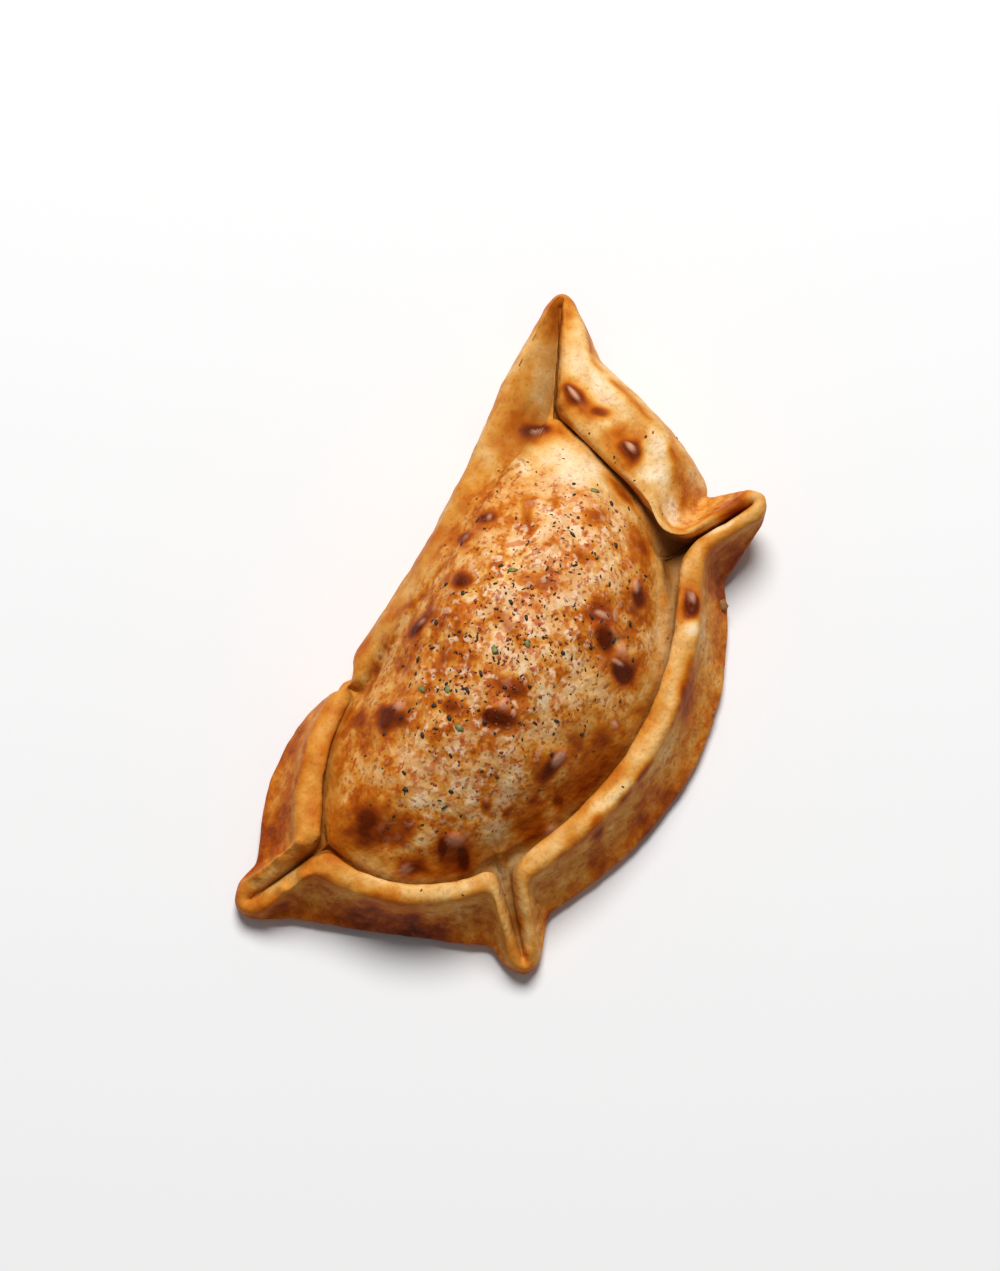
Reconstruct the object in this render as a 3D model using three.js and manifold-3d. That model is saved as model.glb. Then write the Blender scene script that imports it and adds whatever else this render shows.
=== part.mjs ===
// A baked empanada: a disc of dough folded over its filling into a half-moon. The straight side is
// the fold. The round edge is turned up against the dome in flaps, and between the flaps the spare
// dough is pinched into pointed ears, each with a slit along its top. Flakes of herb lie on the dome.
// The whole is one closed solid, in millimetres, +Z up, lying on a flat base.
//
// The surface is a stack of closed loops that all run clockwise round the pie, from the crown of the
// dome, down to the crease where it meets the flaps, up the flaps' edge, over the crest and down the
// skirt to the base.

import * as THREE from "three";
import { mergeVertices } from "three/addons/utils/BufferGeometryUtils.js";
import Module from "manifold-3d";

// Dome
const DOME_TOP = 42; // height of the crown
const DOME_CENTRE = [-4, -7]; // plan position of the crown
const DOME_HALF = [58, 32]; // half length and half width of the rounded rings near the crown
const DOME_START = 0.5; // angle of the first station on those rings, in radians
const DOME_FULLNESS = 2.3; // exponent of the drop from the crown to the hem: 1 is a cone, 2 a parabola
const DOME_ROUNDING = 2; // exponent by which the rounded rings give way to the hem's outline
const HEM_INSET = 1.4; // the dome's hem lies this far inside the crease
const HEM_RISE = 1.6; // and this far above it
const HOLLOW_SLOPE = 0.8; // where it stays further back at an ear, it is higher by this share of that

// Ears, clockwise from the sharp end. Plan places on an ear are [along, across]: along is counted
// from its root towards its tip, and across is the distance from its middle line.
//   root, tip: plan positions of its ends
//   rise: height of the crest at the root and at the tip
//   slit: depth of the slit at the root and where it stops
//   gap: half-width of the slit's floor at the same places
//   hollow: how far the dome stays back from the start of the slit
//   lobes: where the crest joins the ear, on the side of the flap before and of the flap after
//   round: how far the edge gives way to a rounder one there, on the same two sides
//   lobeTip: distance of the crest from the middle line near the tip, on the same two sides
//   tipHalf: half-width of the ear there
//   skirts: where the widest line of the skirt joins the ear, on the same two sides
//   tipLift: height of that line under the tip
//   foot: how far along the ear the flat base reaches
const EARS = [
  {
    root: [59.5, 16.2],
    tip: [88.9, 29.4],
    rise: [20, 8],
    slit: [6, 2],
    gap: [0.4, 0.3],
    hollow: 1.4,
    lobes: [[0, 12.8], [0, 2.8]],
    round: [0, 0],
    lobeTip: [2.2, 0.8],
    tipHalf: 3.5,
    skirts: [[5, 14.2], [14.6, 11.8]],
    tipLift: 5,
    foot: 28,
  },
  {
    root: [42, -30.5],
    tip: [61.6, -41.8],
    rise: [21.5, 18.5],
    slit: [8, 2],
    gap: [0.35, 0.3],
    hollow: 5.5,
    lobes: [[-6.2, 1.2], [0, 2.4]],
    round: [1, 0.6],
    lobeTip: [2.1, 2.1],
    tipHalf: 4.7,
    skirts: [[13.4, 10.4], [5.4, 10.2]],
    tipLift: 14,
    foot: 12,
  },
  {
    root: [-53.5, -30],
    tip: [-69.4, -44],
    rise: [20, 7],
    slit: [7.5, 2],
    gap: [1.5, 0.4],
    hollow: 4,
    lobes: [[0, 3.5], [0, 3.5]],
    round: [0, 0],
    lobeTip: [1.6, 1.6],
    tipHalf: 4.2,
    skirts: [[8.8, 8.6], [13.2, 7.2]],
    tipLift: 3,
    foot: 19.5,
  },
  {
    root: [-70, 14.5],
    tip: [-88.9, 25.5],
    rise: [18.5, 7],
    slit: [4, 1.2],
    gap: [0.35, 0.3],
    hollow: 2,
    lobes: [[0, 4], [0, 3.6]],
    round: [0, 0],
    lobeTip: [2.8, 2.6],
    tipHalf: 5.4,
    skirts: [[12.2, 8.9], [12.3, 7.3]],
    tipLift: 3.5,
    foot: 19.5,
  },
  {
    root: [-28.7, 27.2],
    tip: [-28.3, 28],
    rise: [13, 10],
    slit: [1.5, 0.8],
    gap: [0.4, 0.3],
    hollow: 1.4,
    lobes: [[0, 1.6], [0, 1.6]],
    round: [0, 0],
    lobeTip: [0.4, 0.4],
    tipHalf: 3,
    skirts: [[2.8, 4.2], [6.2, 4.4]],
    tipLift: 8,
    foot: 2.6,
  },
];
const SLIT_BACK = 3; // the slit starts this far behind the ear's root
const SLIT_SHORT = 3.5; // and stops this far short of its tip
const TIP_FALL = 0.5; // the crest drops this far at the very tip
const TIP_WALL = 2.6; // the skirt's line lies this far outside the crest at the tip
const FOOT_ROUND = 1.2; // rounding of the flat base under an ear

// Sides, each after the ear of the same number: four flaps, and last the fold. Plan distances are
// taken at the middle of the side, square to the chord between its ears.
//   bulge: how far the crest bows out from the chord
//   rise: height of the crest
//   edgeRun, edgeDrop: the crease lies this far inside the crest and this far below it
//   skirtRun, skirtRise: the skirt's widest line lies this far outside the crest, at this height
//   skirtLean: and is widest this far past the middle, towards the ear after it
// Both of these are given at the side's start, middle and end:
//   rolled: 1 where a flap has a rolled edge, 0 along the smooth fold
//   broad: 1 where a flap lies flat behind its edge and turns down further out
const SIDES = [
  {
    bulge: 3.6, rise: 23, edgeRun: 2.4, edgeDrop: 5.5,
    skirtRun: 18, skirtRise: 4, skirtLean: 1, rolled: [1, 1, 1], broad: [1, 1, 0],
  },
  {
    bulge: 13.6, rise: 21, edgeRun: 3.2, edgeDrop: 4.5,
    skirtRun: 11.3, skirtRise: 3, skirtLean: -0.5, rolled: [1, 1, 1], broad: [0, 0, 0],
  },
  {
    bulge: 5.6, rise: 19.5, edgeRun: 2.2, edgeDrop: 4.5,
    skirtRun: 7.6, skirtRise: 3, skirtLean: 0, rolled: [1, 1, 1], broad: [0, 0, 0],
  },
  {
    bulge: 3.5, rise: 16.5, edgeRun: 3.2, edgeDrop: 4,
    skirtRun: 9, skirtRise: 4, skirtLean: 0, rolled: [1, 0.9, 0.3], broad: [0, 0, 0],
  },
  {
    bulge: -1.7, rise: 21, edgeRun: 5.5, edgeDrop: -6,
    skirtRun: 2.4, skirtRise: 9, skirtLean: 10, rolled: [0, 0, 0], broad: [0, 0, 0],
  },
];
const BASE_INSET = 2.5; // the flat base lies this far inside the widest line of the skirt

// Blisters of the crust: plan position, radius and height
const BLISTERS = [
  { at: [9, -24], radius: 6, height: 1.5 },
  { at: [4, -30], radius: 5, height: 1.4 },
  { at: [-32, 11], radius: 5, height: 1.2 },
  { at: [-22, -12], radius: 5, height: 1.2 },
  { at: [-56, 4], radius: 8, height: 1.2 },
  { at: [-54, -16], radius: 5.5, height: 1 },
  { at: [-25, -28], radius: 5, height: 1 },
  { at: [22, -26], radius: 5, height: 0.9 },
  { at: [28, 2], radius: 6, height: 0.9 },
  { at: [49, 16], radius: 5, height: 1.2 },
  { at: [62, 12], radius: 5, height: 1.3 },
  { at: [56, -7], radius: 5, height: 1.3 },
];

// Gentle unevenness of the whole crust
const LUMP_HEIGHT = 0.5;
const LUMP_LENGTHS = [27, 21]; // along and across the pie
const RELIEF_FROM = 14; // the relief is full above this height, and fades below it

// Flakes of herb, spread over the dome and half sunk in it
const FLAKE_COUNT = 60;
const FLAKE_HALF = [0.8, 0.45, 0.4]; // half length, half width and half thickness
const FLAKE_SPREAD = 0.4; // share by which a flake differs in size, and strays from its place
const FLAKE_REACH = 0.85; // share of the dome's half length and half width that they cover
const FLAKE_SEED = 11;
const GOLDEN_TURN = Math.PI * (3 - Math.sqrt(5)); // turn from one flake to the next, in radians

// Shares of the way [in plan, in height] from the crease to the crest. Away from the ears a rolled lip
// hangs over the crease. At the ears it falls off gently into the slit, and the groove between dome and
// crease is deeper.
const PINCHED_LIP = [[0, 0], [0.08, 0.32], [0.24, 0.66], [0.55, 0.92], [1, 1]];
const PINCHED_TO = 0.25; // share of the way to a side's middle that a pinched lip reaches
const ROLLED_LIP = [[0, 0], [0.01, 0.42], [0.05, 0.8], [0.27, 0.97], [1, 1]];
const OVERHANG = [[0, 0], [-0.3, 0], [-0.25, 0], [-0.08, 0], [0, 0]];
const SMOOTH_LIP = [[0, 0], [0.25, 0.25], [0.5, 0.5], [0.75, 0.75], [1, 1]];
const GROOVE_AT = 0.6; // share of the way from the dome's hem to the crease
const GROOVE_DEPTH = 1; // at the ears
const GROOVE_RUN = 1.5; // length of the groove's own way into a slit

// The outer half of a rolled edge is round, and the skirt sweeps out from under it
const ROLL_RADIUS = 2.5;
const ROLL_LIMIT = 0.75; // a roll takes up at most this share of the way to the skirt's line
const ROLL_TURNS = [Math.PI / 6, Math.PI / 3, Math.PI / 2]; // places round it, from its top
const ROLLED_SKIRT = [[0.14, 0.26], [0.38, 0.54], [0.7, 0.8], [1, 1]]; // shares from the roll on

// Shares from the crest to the skirt's line of the broad flap and of the fold, and under to the base
const BROAD_SKIRT = [
  [0.05, 0], [0.11, 0.03], [0.19, 0.08], [0.36, 0.12], [0.62, 0.14], [0.86, 0.45], [1, 1],
];
const SMOOTH_SKIRT = [
  [0.12, 0.04], [0.24, 0.09], [0.36, 0.15], [0.52, 0.26], [0.7, 0.42], [0.88, 0.68], [1, 1],
];
const UNDER = [[0.3, 0.65], [1, 1]];

// Sampling: each loop is laid out finely, softened, and every FINE-th station is kept
const FINE = 4;
const SIDE_STEP = 4; // spacing of the kept stations along a side
const FLANK_STEP = 4; // and along an ear
const SOFTEN_PASSES = 8; // rounding of the corners of every loop
const HEM_PASSES = 60; // of the dome's hem, which is rounder
const ROUND_PASSES = 72; // and of the edge at the lobes that are rounder
const ROUND_REACH = 9; // how far from such a lobe that goes
const DOME_RINGS = 14;

const mix = (a, b, share) => a.map((value, i) => value + (b[i] - value) * share);
const distance = (a, b) => Math.hypot(a[0] - b[0], a[1] - b[1]);
const after = (list, i) => list[(i + 1) % list.length];
const before = (list, i) => list[(i + list.length - 1) % list.length];
const sidesOf = (i) => [before(SIDES, i), SIDES[i]];
const earLength = (ear) => distance(ear.root, ear.tip);

// The plan point of [along, across] on an ear, across counted towards the flap after it
function place(ear, along, across) {
  const length = earLength(ear);
  const axis = [(ear.tip[0] - ear.root[0]) / length, (ear.tip[1] - ear.root[1]) / length];
  return [
    ear.root[0] + axis[0] * along + axis[1] * across,
    ear.root[1] + axis[1] * along - axis[0] * across,
  ];
}

// The five points that a loop has at an ear: root, shoulder, tip, shoulder, root. A point is
// [x, y, z, rolled, broad, away]: rolled and broad follow the side that it belongs to, and away goes
// from 0 at the ears to 1 in the middle of a side.
function earPoints(i, roots, shoulders, tip) {
  const ear = EARS[i];
  const [previous, next] = sidesOf(i);
  const kinds = [
    [previous.rolled.at(-1), previous.broad.at(-1), 0],
    [next.rolled[0], next.broad[0], 0],
  ];
  const point = ([along, across, z], hand, kind) => [...place(ear, along, hand * across), z, ...kind];
  return [
    point(roots[0], -1, kinds[0]),
    point(shoulders[0], -1, kinds[0]),
    point([tip[0], 0, tip[1]], 1, mix(...kinds, 0.5)),
    point(shoulders[1], 1, kinds[1]),
    point(roots[1], 1, kinds[1]),
  ];
}

const crestPoints = EARS.map((ear, i) => {
  const length = earLength(ear);
  const roots = ear.lobes.map((lobe) => [...lobe, ear.rise[0]]);
  const shoulders = ear.lobeTip.map((across) => [length - across, across, ear.rise[1]]);
  return earPoints(i, roots, shoulders, [length, ear.rise[1] - TIP_FALL]);
});

const creasePoints = EARS.map((ear, i) => {
  const stop = Math.max(earLength(ear) - SLIT_SHORT, 0);
  const root = [-SLIT_BACK, ear.gap[0], ear.rise[0] - ear.slit[0]];
  const floor = ear.rise[1] - ear.slit[1];
  const shoulder = [stop, ear.gap[1], floor];
  return earPoints(i, [root, root], [shoulder, shoulder], [stop + ear.gap[1], floor]);
});

const hemPoints = EARS.map((ear, i) => {
  const back = -SLIT_BACK - ear.hollow;
  const z = ear.rise[0] - ear.slit[0] + HEM_RISE + HOLLOW_SLOPE * (ear.hollow - HEM_INSET);
  const root = [back, HEM_INSET, z];
  const shoulder = [back, 0, z];
  return earPoints(i, [root, root], [shoulder, shoulder], [back, z]);
});

const groovePoints = EARS.map((ear, i) => {
  const back = -SLIT_BACK - ear.hollow * (1 - GROOVE_AT);
  const stop = back + GROOVE_RUN;
  const z = ear.rise[0] - ear.slit[0] - GROOVE_DEPTH;
  const root = [back, ear.gap[0], z];
  const shoulder = [stop, ear.gap[1], z];
  return earPoints(i, [root, root], [shoulder, shoulder], [stop + ear.gap[1], z]);
});

const skirtPoints = EARS.map((ear, i) => {
  const length = earLength(ear);
  const roots = sidesOf(i).map((side, n) => [...ear.skirts[n], side.skirtRise]);
  const shoulders = ear.lobeTip.map((across) => [length - across, ear.tipHalf, ear.tipLift]);
  return earPoints(i, roots, shoulders, [length + TIP_WALL, ear.tipLift]);
});

const basePoints = EARS.map((ear, i) => {
  const roots = ear.skirts.map(([along, across]) => [along - BASE_INSET, across - BASE_INSET, 0]);
  const shoulder = [ear.foot - FOOT_ROUND, FOOT_ROUND, 0];
  return earPoints(i, roots, [shoulder, shoulder], [ear.foot, 0]);
});

// The middle of side i, set out from the chord of its crest, at height z, and shifted along it by lean
function sideMiddle(i, out, z, lean = 0) {
  const from = crestPoints[i].at(-1);
  const to = after(crestPoints, i)[0];
  const chord = distance(from, to);
  const [runX, runY] = [(to[0] - from[0]) / chord, (to[1] - from[1]) / chord];
  const [x, y] = mix(from, to, 0.5);
  const { rolled, broad } = SIDES[i];
  return [x + lean * runX - out * runY, y + lean * runY + out * runX, z, rolled[1], broad[1], 1];
}

// The parabola through three points
function bow(from, middle, to, s) {
  const weights = [(1 - s) * (1 - 2 * s), 4 * s * (1 - s), s * (2 * s - 1)];
  return from.map((value, i) => weights[0] * value + weights[1] * middle[i] + weights[2] * to[i]);
}

// Rounds a closed path's corners, as dough does
function soften(path, passes) {
  let soft = path;
  for (let pass = 0; pass < passes; pass++) {
    soft = soft.map((station, n) => mix(station, mix(before(soft, n), after(soft, n), 0.5), 0.5));
  }
  return soft;
}

const flankSteps = (ear) => FINE * Math.max(1, Math.round(earLength(ear) / FLANK_STEP));
const sideSteps = (i) => FINE * Math.round(distance(EARS[i].root, after(EARS, i).root) / SIDE_STEP);

// A closed loop of stations through the ears' points, with the sides bowed between them
function loop(points, middles, passes) {
  const path = [];
  const run = (steps, curve) => {
    for (let n = 0; n < steps; n++) path.push(curve(n / steps));
  };
  EARS.forEach((ear, i) => {
    const [, , tip, shoulder, root] = points[i];
    const [nextRoot, nextShoulder, nextTip] = after(points, i);
    run(FINE, (s) => mix(tip, shoulder, s));
    run(flankSteps(ear), (s) => mix(shoulder, root, s));
    run(sideSteps(i), (s) => bow(root, middles[i], nextRoot, s));
    run(flankSteps(after(EARS, i)), (s) => mix(nextRoot, nextShoulder, s));
    run(FINE, (s) => mix(nextShoulder, nextTip, s));
  });
  return soften(path, passes).filter((_, n) => n % FINE === 0);
}

const middlesOf = (rule) => SIDES.map((side, i) => sideMiddle(i, ...rule(side)));

const crestMiddles = middlesOf((side) => [side.bulge, side.rise]);
const creaseMiddles = middlesOf((side) => [side.bulge - side.edgeRun, side.rise - side.edgeDrop]);

// How far the edge gives way to a rounder one at each station of the crest
const roundness = loop(crestPoints, crestMiddles, SOFTEN_PASSES).map((station) => {
  const shares = EARS.flatMap(({ round }, i) => {
    const lobes = [crestPoints[i][0], crestPoints[i].at(-1)];
    return lobes.map((lobe, n) => round[n] * Math.exp(-((distance(station, lobe) / ROUND_REACH) ** 2)));
  });
  return Math.max(...shares);
});

function edgeLoop(points, middles) {
  const rounder = loop(points, middles, ROUND_PASSES);
  return loop(points, middles, SOFTEN_PASSES).map((station, n) => mix(station, rounder[n], roundness[n]));
}

const crest = edgeLoop(crestPoints, crestMiddles);
const crease = edgeLoop(creasePoints, creaseMiddles);
const hem = loop(
  hemPoints,
  middlesOf((side) => [side.bulge - side.edgeRun - HEM_INSET, side.rise - side.edgeDrop + HEM_RISE]),
  HEM_PASSES,
);
const groove = loop(
  groovePoints,
  middlesOf((side) => [
    side.bulge - side.edgeRun - HEM_INSET * (1 - GROOVE_AT),
    side.rise - side.edgeDrop + HEM_RISE * (1 - GROOVE_AT),
  ]),
  SOFTEN_PASSES,
);
const skirt = loop(
  skirtPoints,
  middlesOf((side) => [side.bulge + side.skirtRun, side.skirtRise, side.skirtLean]),
  SOFTEN_PASSES,
);
const base = loop(
  basePoints,
  middlesOf((side) => [side.bulge + side.skirtRun - BASE_INSET, 0, side.skirtLean]),
  SOFTEN_PASSES,
);

// A ring of the dome, a share of the way from the crown to the hem
function domeRing(share) {
  return hem.map(([x, y, z], n) => {
    const turn = DOME_START - (2 * Math.PI * n) / hem.length;
    const round = [
      DOME_CENTRE[0] + DOME_HALF[0] * Math.cos(turn),
      DOME_CENTRE[1] + DOME_HALF[1] * Math.sin(turn),
    ];
    const plan = mix(DOME_CENTRE, mix(round, [x, y], share ** DOME_ROUNDING), share);
    return [...plan, DOME_TOP + (z - DOME_TOP) * share ** DOME_FULLNESS];
  });
}

// The point that lies shares [in plan, in height] of the way from one station to another
const part = (from, to, [plan, height]) => [
  from[0] + (to[0] - from[0]) * plan,
  from[1] + (to[1] - from[1]) * plan,
  from[2] + (to[2] - from[2]) * height,
];

// The ring between the dome's hem and the crease, which lies in the groove near the ears
const grooveRing = () =>
  hem.map((from, at) => {
    const [, , , rolled, , away] = crest[at];
    return mix(mix(from, crease[at], GROOVE_AT), groove[at], rolled * (1 - away) ** 2);
  });

// Ring n of the lip, from the crease up to the crest
const lipRing = (n) =>
  crease.map((from, at) => {
    const [, , , rolled, , away] = crest[at];
    const roll = ROLLED_LIP[n].map((share, i) => share + OVERHANG[n][i] * away);
    const lip = mix(PINCHED_LIP[n], roll, THREE.MathUtils.smoothstep(away, 0, PINCHED_TO));
    return part(from, crest[at], mix(SMOOTH_LIP[n], lip, rolled));
  });

// The point at a turn from the top of a rolled edge, on its outer half
function rollPoint(from, to, turn) {
  const run = distance(from, to);
  const radius = Math.min(ROLL_RADIUS, ROLL_LIMIT * run);
  const share = (radius * Math.sin(turn)) / run;
  return [...mix(from, to, share).slice(0, 2), from[2] - radius * (1 - Math.cos(turn))];
}

// Ring n from the crest down to the skirt's line, by the kind of edge at each station
function skirtRing(n) {
  const past = n - ROLL_TURNS.length;
  return crest.map((from, at) => {
    const to = skirt[at];
    const [, , , rolled, broad] = from;
    const roll = rollPoint(from, to, ROLL_TURNS[Math.min(n, ROLL_TURNS.length - 1)]);
    const narrow = past < 0 ? roll : part(roll, to, ROLLED_SKIRT[past]);
    const flap = mix(narrow, part(from, to, BROAD_SKIRT[n]), broad);
    return mix(part(from, to, SMOOTH_SKIRT[n]), flap, rolled);
  });
}

// Height of the crust's relief over a plan point
function relief([x, y]) {
  const [turnX, turnY] = [x / LUMP_LENGTHS[0], y / LUMP_LENGTHS[1]].map((turns) => 2 * Math.PI * turns);
  const lump = LUMP_HEIGHT * Math.sin(turnX + Math.sin(turnY)) * Math.cos(turnY - turnX / 2);
  const blisters = BLISTERS.map(({ at, radius, height }) => {
    const share = distance(at, [x, y]) / radius;
    return height * Math.max(1 - share ** 2, 0) ** 2;
  });
  return blisters.reduce((sum, height) => sum + height, lump);
}

const raised = ([x, y, z]) => [x, y, z + relief([x, y]) * Math.min(z / RELIEF_FROM, 1) ** 2];

function rings() {
  const made = [];
  for (let n = 1; n <= DOME_RINGS; n++) made.push(domeRing(n / DOME_RINGS));
  made.push(grooveRing());
  ROLLED_LIP.forEach((_, n) => made.push(lipRing(n)));
  SMOOTH_SKIRT.forEach((_, n) => made.push(skirtRing(n)));
  UNDER.forEach((share) => made.push(skirt.map((from, at) => part(from, base[at], share))));
  return made.map((ring) => ring.map(raised));
}

// The closed surface through the rings: a fan at the crown, strips between rings, a flat base
function surface() {
  const loops = rings();
  const count = loops[0].length;
  const positions = [...raised([...DOME_CENTRE, DOME_TOP]), ...loops.flat(2)];
  const index = [];
  const vertex = (ring, n) => 1 + ring * count + (n % count);
  for (let n = 0; n < count; n++) {
    index.push(0, vertex(0, n + 1), vertex(0, n));
    for (let ring = 0; ring + 1 < loops.length; ring++) {
      const [a, b] = [vertex(ring, n), vertex(ring, n + 1)];
      const [c, d] = [vertex(ring + 1, n), vertex(ring + 1, n + 1)];
      index.push(a, b, d, a, d, c);
    }
  }
  const last = loops.length - 1;
  const outline = loops[last].map(([x, y]) => new THREE.Vector2(x, y));
  for (const [a, b, c] of THREE.ShapeUtils.triangulateShape(outline, [])) {
    index.push(vertex(last, a), vertex(last, c), vertex(last, b));
  }
  const geometry = new THREE.BufferGeometry();
  geometry.setAttribute("position", new THREE.Float32BufferAttribute(positions, 3));
  geometry.setIndex(index);
  return geometry;
}

const wasm = await Module();
wasm.setup();

// The solid of a closed geometry
function solidOf(geometry) {
  const bare = new THREE.BufferGeometry();
  bare.setAttribute("position", geometry.getAttribute("position"));
  bare.setIndex(geometry.index);
  const merged = mergeVertices(bare);
  return new wasm.Manifold(
    new wasm.Mesh({
      numProp: 3,
      vertProperties: merged.getAttribute("position").array,
      triVerts: Uint32Array.from(merged.index.array),
    }),
  );
}

function geometryOf(solid) {
  const { numProp, vertProperties, triVerts } = solid.getMesh();
  const geometry = new THREE.BufferGeometry();
  geometry.setAttribute("position", new THREE.BufferAttribute(vertProperties, numProp));
  geometry.setIndex(new THREE.BufferAttribute(triVerts, 1));
  return geometry;
}

// The flakes, each an uneven facet lying on the crust
function flakes(crust) {
  const up = new THREE.Vector3(0, 0, 1);
  const down = new THREE.Vector3(0, 0, -1);
  const random = THREE.MathUtils.seededRandom;
  const stray = () => FLAKE_SPREAD * (2 * random() - 1);
  random(FLAKE_SEED);
  const made = [];
  for (let n = 0; n < FLAKE_COUNT; n++) {
    const reach = FLAKE_REACH * Math.sqrt((n + random()) / FLAKE_COUNT);
    const turn = GOLDEN_TURN * n + stray();
    const over = new THREE.Vector3(
      DOME_CENTRE[0] + DOME_HALF[0] * reach * Math.cos(turn),
      DOME_CENTRE[1] + DOME_HALF[1] * reach * Math.sin(turn),
      2 * DOME_TOP,
    );
    const [hit] = new THREE.Raycaster(over, down).intersectObject(crust);
    const flake = new THREE.Object3D();
    flake.position.copy(hit.point);
    flake.quaternion.setFromUnitVectors(up, hit.face.normal);
    flake.rotateZ(2 * Math.PI * random());
    flake.scale.set(...FLAKE_HALF.map((half) => half * (1 + stray())));
    flake.updateMatrix();
    made.push(new THREE.IcosahedronGeometry(1).applyMatrix4(flake.matrix));
  }
  return made;
}

// Puts a geometry's origin at the middle of its underside
function centred(geometry) {
  geometry.computeBoundingBox();
  const { min, max } = geometry.boundingBox;
  return geometry.translate(-(min.x + max.x) / 2, -(min.y + max.y) / 2, -min.z);
}

const dough = new THREE.MeshStandardMaterial({ color: 0xd9a05b, roughness: 0.5, metalness: 0 });
const crust = new THREE.Mesh(surface(), dough);
const whole = flakes(crust).reduce((solid, flake) => solid.add(solidOf(flake)), solidOf(crust.geometry));
const empanada = new THREE.Mesh(centred(geometryOf(whole)), dough);
empanada.name = "empanada";

const pie = new THREE.Group();
pie.add(empanada);

export default pie;
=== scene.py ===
"""A baked empanada on a pale floor: folded dough with turned-up flaps, pinched ears and herbs.

The crust repeats the rules of its solid on a finer grid and adds small blisters, wrinkles and browning.
Plan sizes and places are in millimetres, in the frame the pie was laid out in: +X towards the sharp
ear, +Y towards the fold, +Z up. The finished meshes are moved to the solid's place, in metres.
"""

import math
from itertools import combinations
from typing import NamedTuple

import bpy
import numpy as np
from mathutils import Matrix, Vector, noise
from mathutils.bvhtree import BVHTree
from mathutils.geometry import tessellate_polygon


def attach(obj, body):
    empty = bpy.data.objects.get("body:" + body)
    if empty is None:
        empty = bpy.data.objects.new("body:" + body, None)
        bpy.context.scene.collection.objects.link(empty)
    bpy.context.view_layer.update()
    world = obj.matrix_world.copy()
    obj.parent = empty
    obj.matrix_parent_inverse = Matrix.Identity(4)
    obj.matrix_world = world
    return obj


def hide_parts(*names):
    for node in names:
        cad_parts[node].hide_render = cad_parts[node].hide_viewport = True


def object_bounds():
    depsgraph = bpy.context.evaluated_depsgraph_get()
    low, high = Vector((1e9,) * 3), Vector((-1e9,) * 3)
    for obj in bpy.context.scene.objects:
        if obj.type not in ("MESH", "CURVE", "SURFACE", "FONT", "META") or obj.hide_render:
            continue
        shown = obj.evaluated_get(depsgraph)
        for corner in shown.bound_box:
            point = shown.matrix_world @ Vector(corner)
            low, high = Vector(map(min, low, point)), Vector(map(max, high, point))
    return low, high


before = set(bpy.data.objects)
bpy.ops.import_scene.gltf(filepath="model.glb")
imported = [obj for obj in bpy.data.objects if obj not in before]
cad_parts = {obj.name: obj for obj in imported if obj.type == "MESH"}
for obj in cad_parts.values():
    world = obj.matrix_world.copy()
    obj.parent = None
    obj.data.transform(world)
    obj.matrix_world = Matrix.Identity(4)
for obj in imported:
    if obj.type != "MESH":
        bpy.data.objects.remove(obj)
cad_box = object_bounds()

MM = 0.001  # a millimetre, in metres

# Dome
DOME_TOP = 42
DOME_CENTRE = np.array([-4.0, -7.0])
DOME_HALF = np.array([58.0, 32.0])
DOME_START = 0.5  # turn of the first station, in radians
DOME_FULLNESS = 2.3  # power of its fall towards the hem
DOME_ROUNDING = 2  # power by which its round outline goes over to the hem's
HEM_INSET = 1.4  # the hem lies this far inside the crease
HEM_RISE = 1.6  # and this far above it
HOLLOW_SLOPE = 0.8  # slope from a slit up to the hem


class Ear(NamedTuple):
    """A pinched corner. Places on it are (along, across): from its root, and from its middle line."""

    root: tuple  # plan position where it leaves the dome
    tip: tuple  # plan position of its point
    rise: tuple  # height of the crest at the root and at the tip
    slit: tuple  # depth of the slit at the root and where it stops
    gap: tuple  # half-width of the slit's floor at the same places
    hollow: float  # how far the dome stays back from the start of the slit
    lobes: tuple  # where the crest joins it, on the side of the flap before and of the flap after
    lobe_tip: tuple  # distance of the crest from the middle line near the tip, on the same two sides
    tip_half: float  # half-width of the ear there
    skirts: tuple  # where the widest line of the skirt joins it, on the same two sides
    tip_lift: float  # height of that line under the tip
    foot: float  # how far along it the flat base reaches
    round: tuple = (0, 0)  # how far the edge gives way to a rounder one at the lobes


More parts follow.
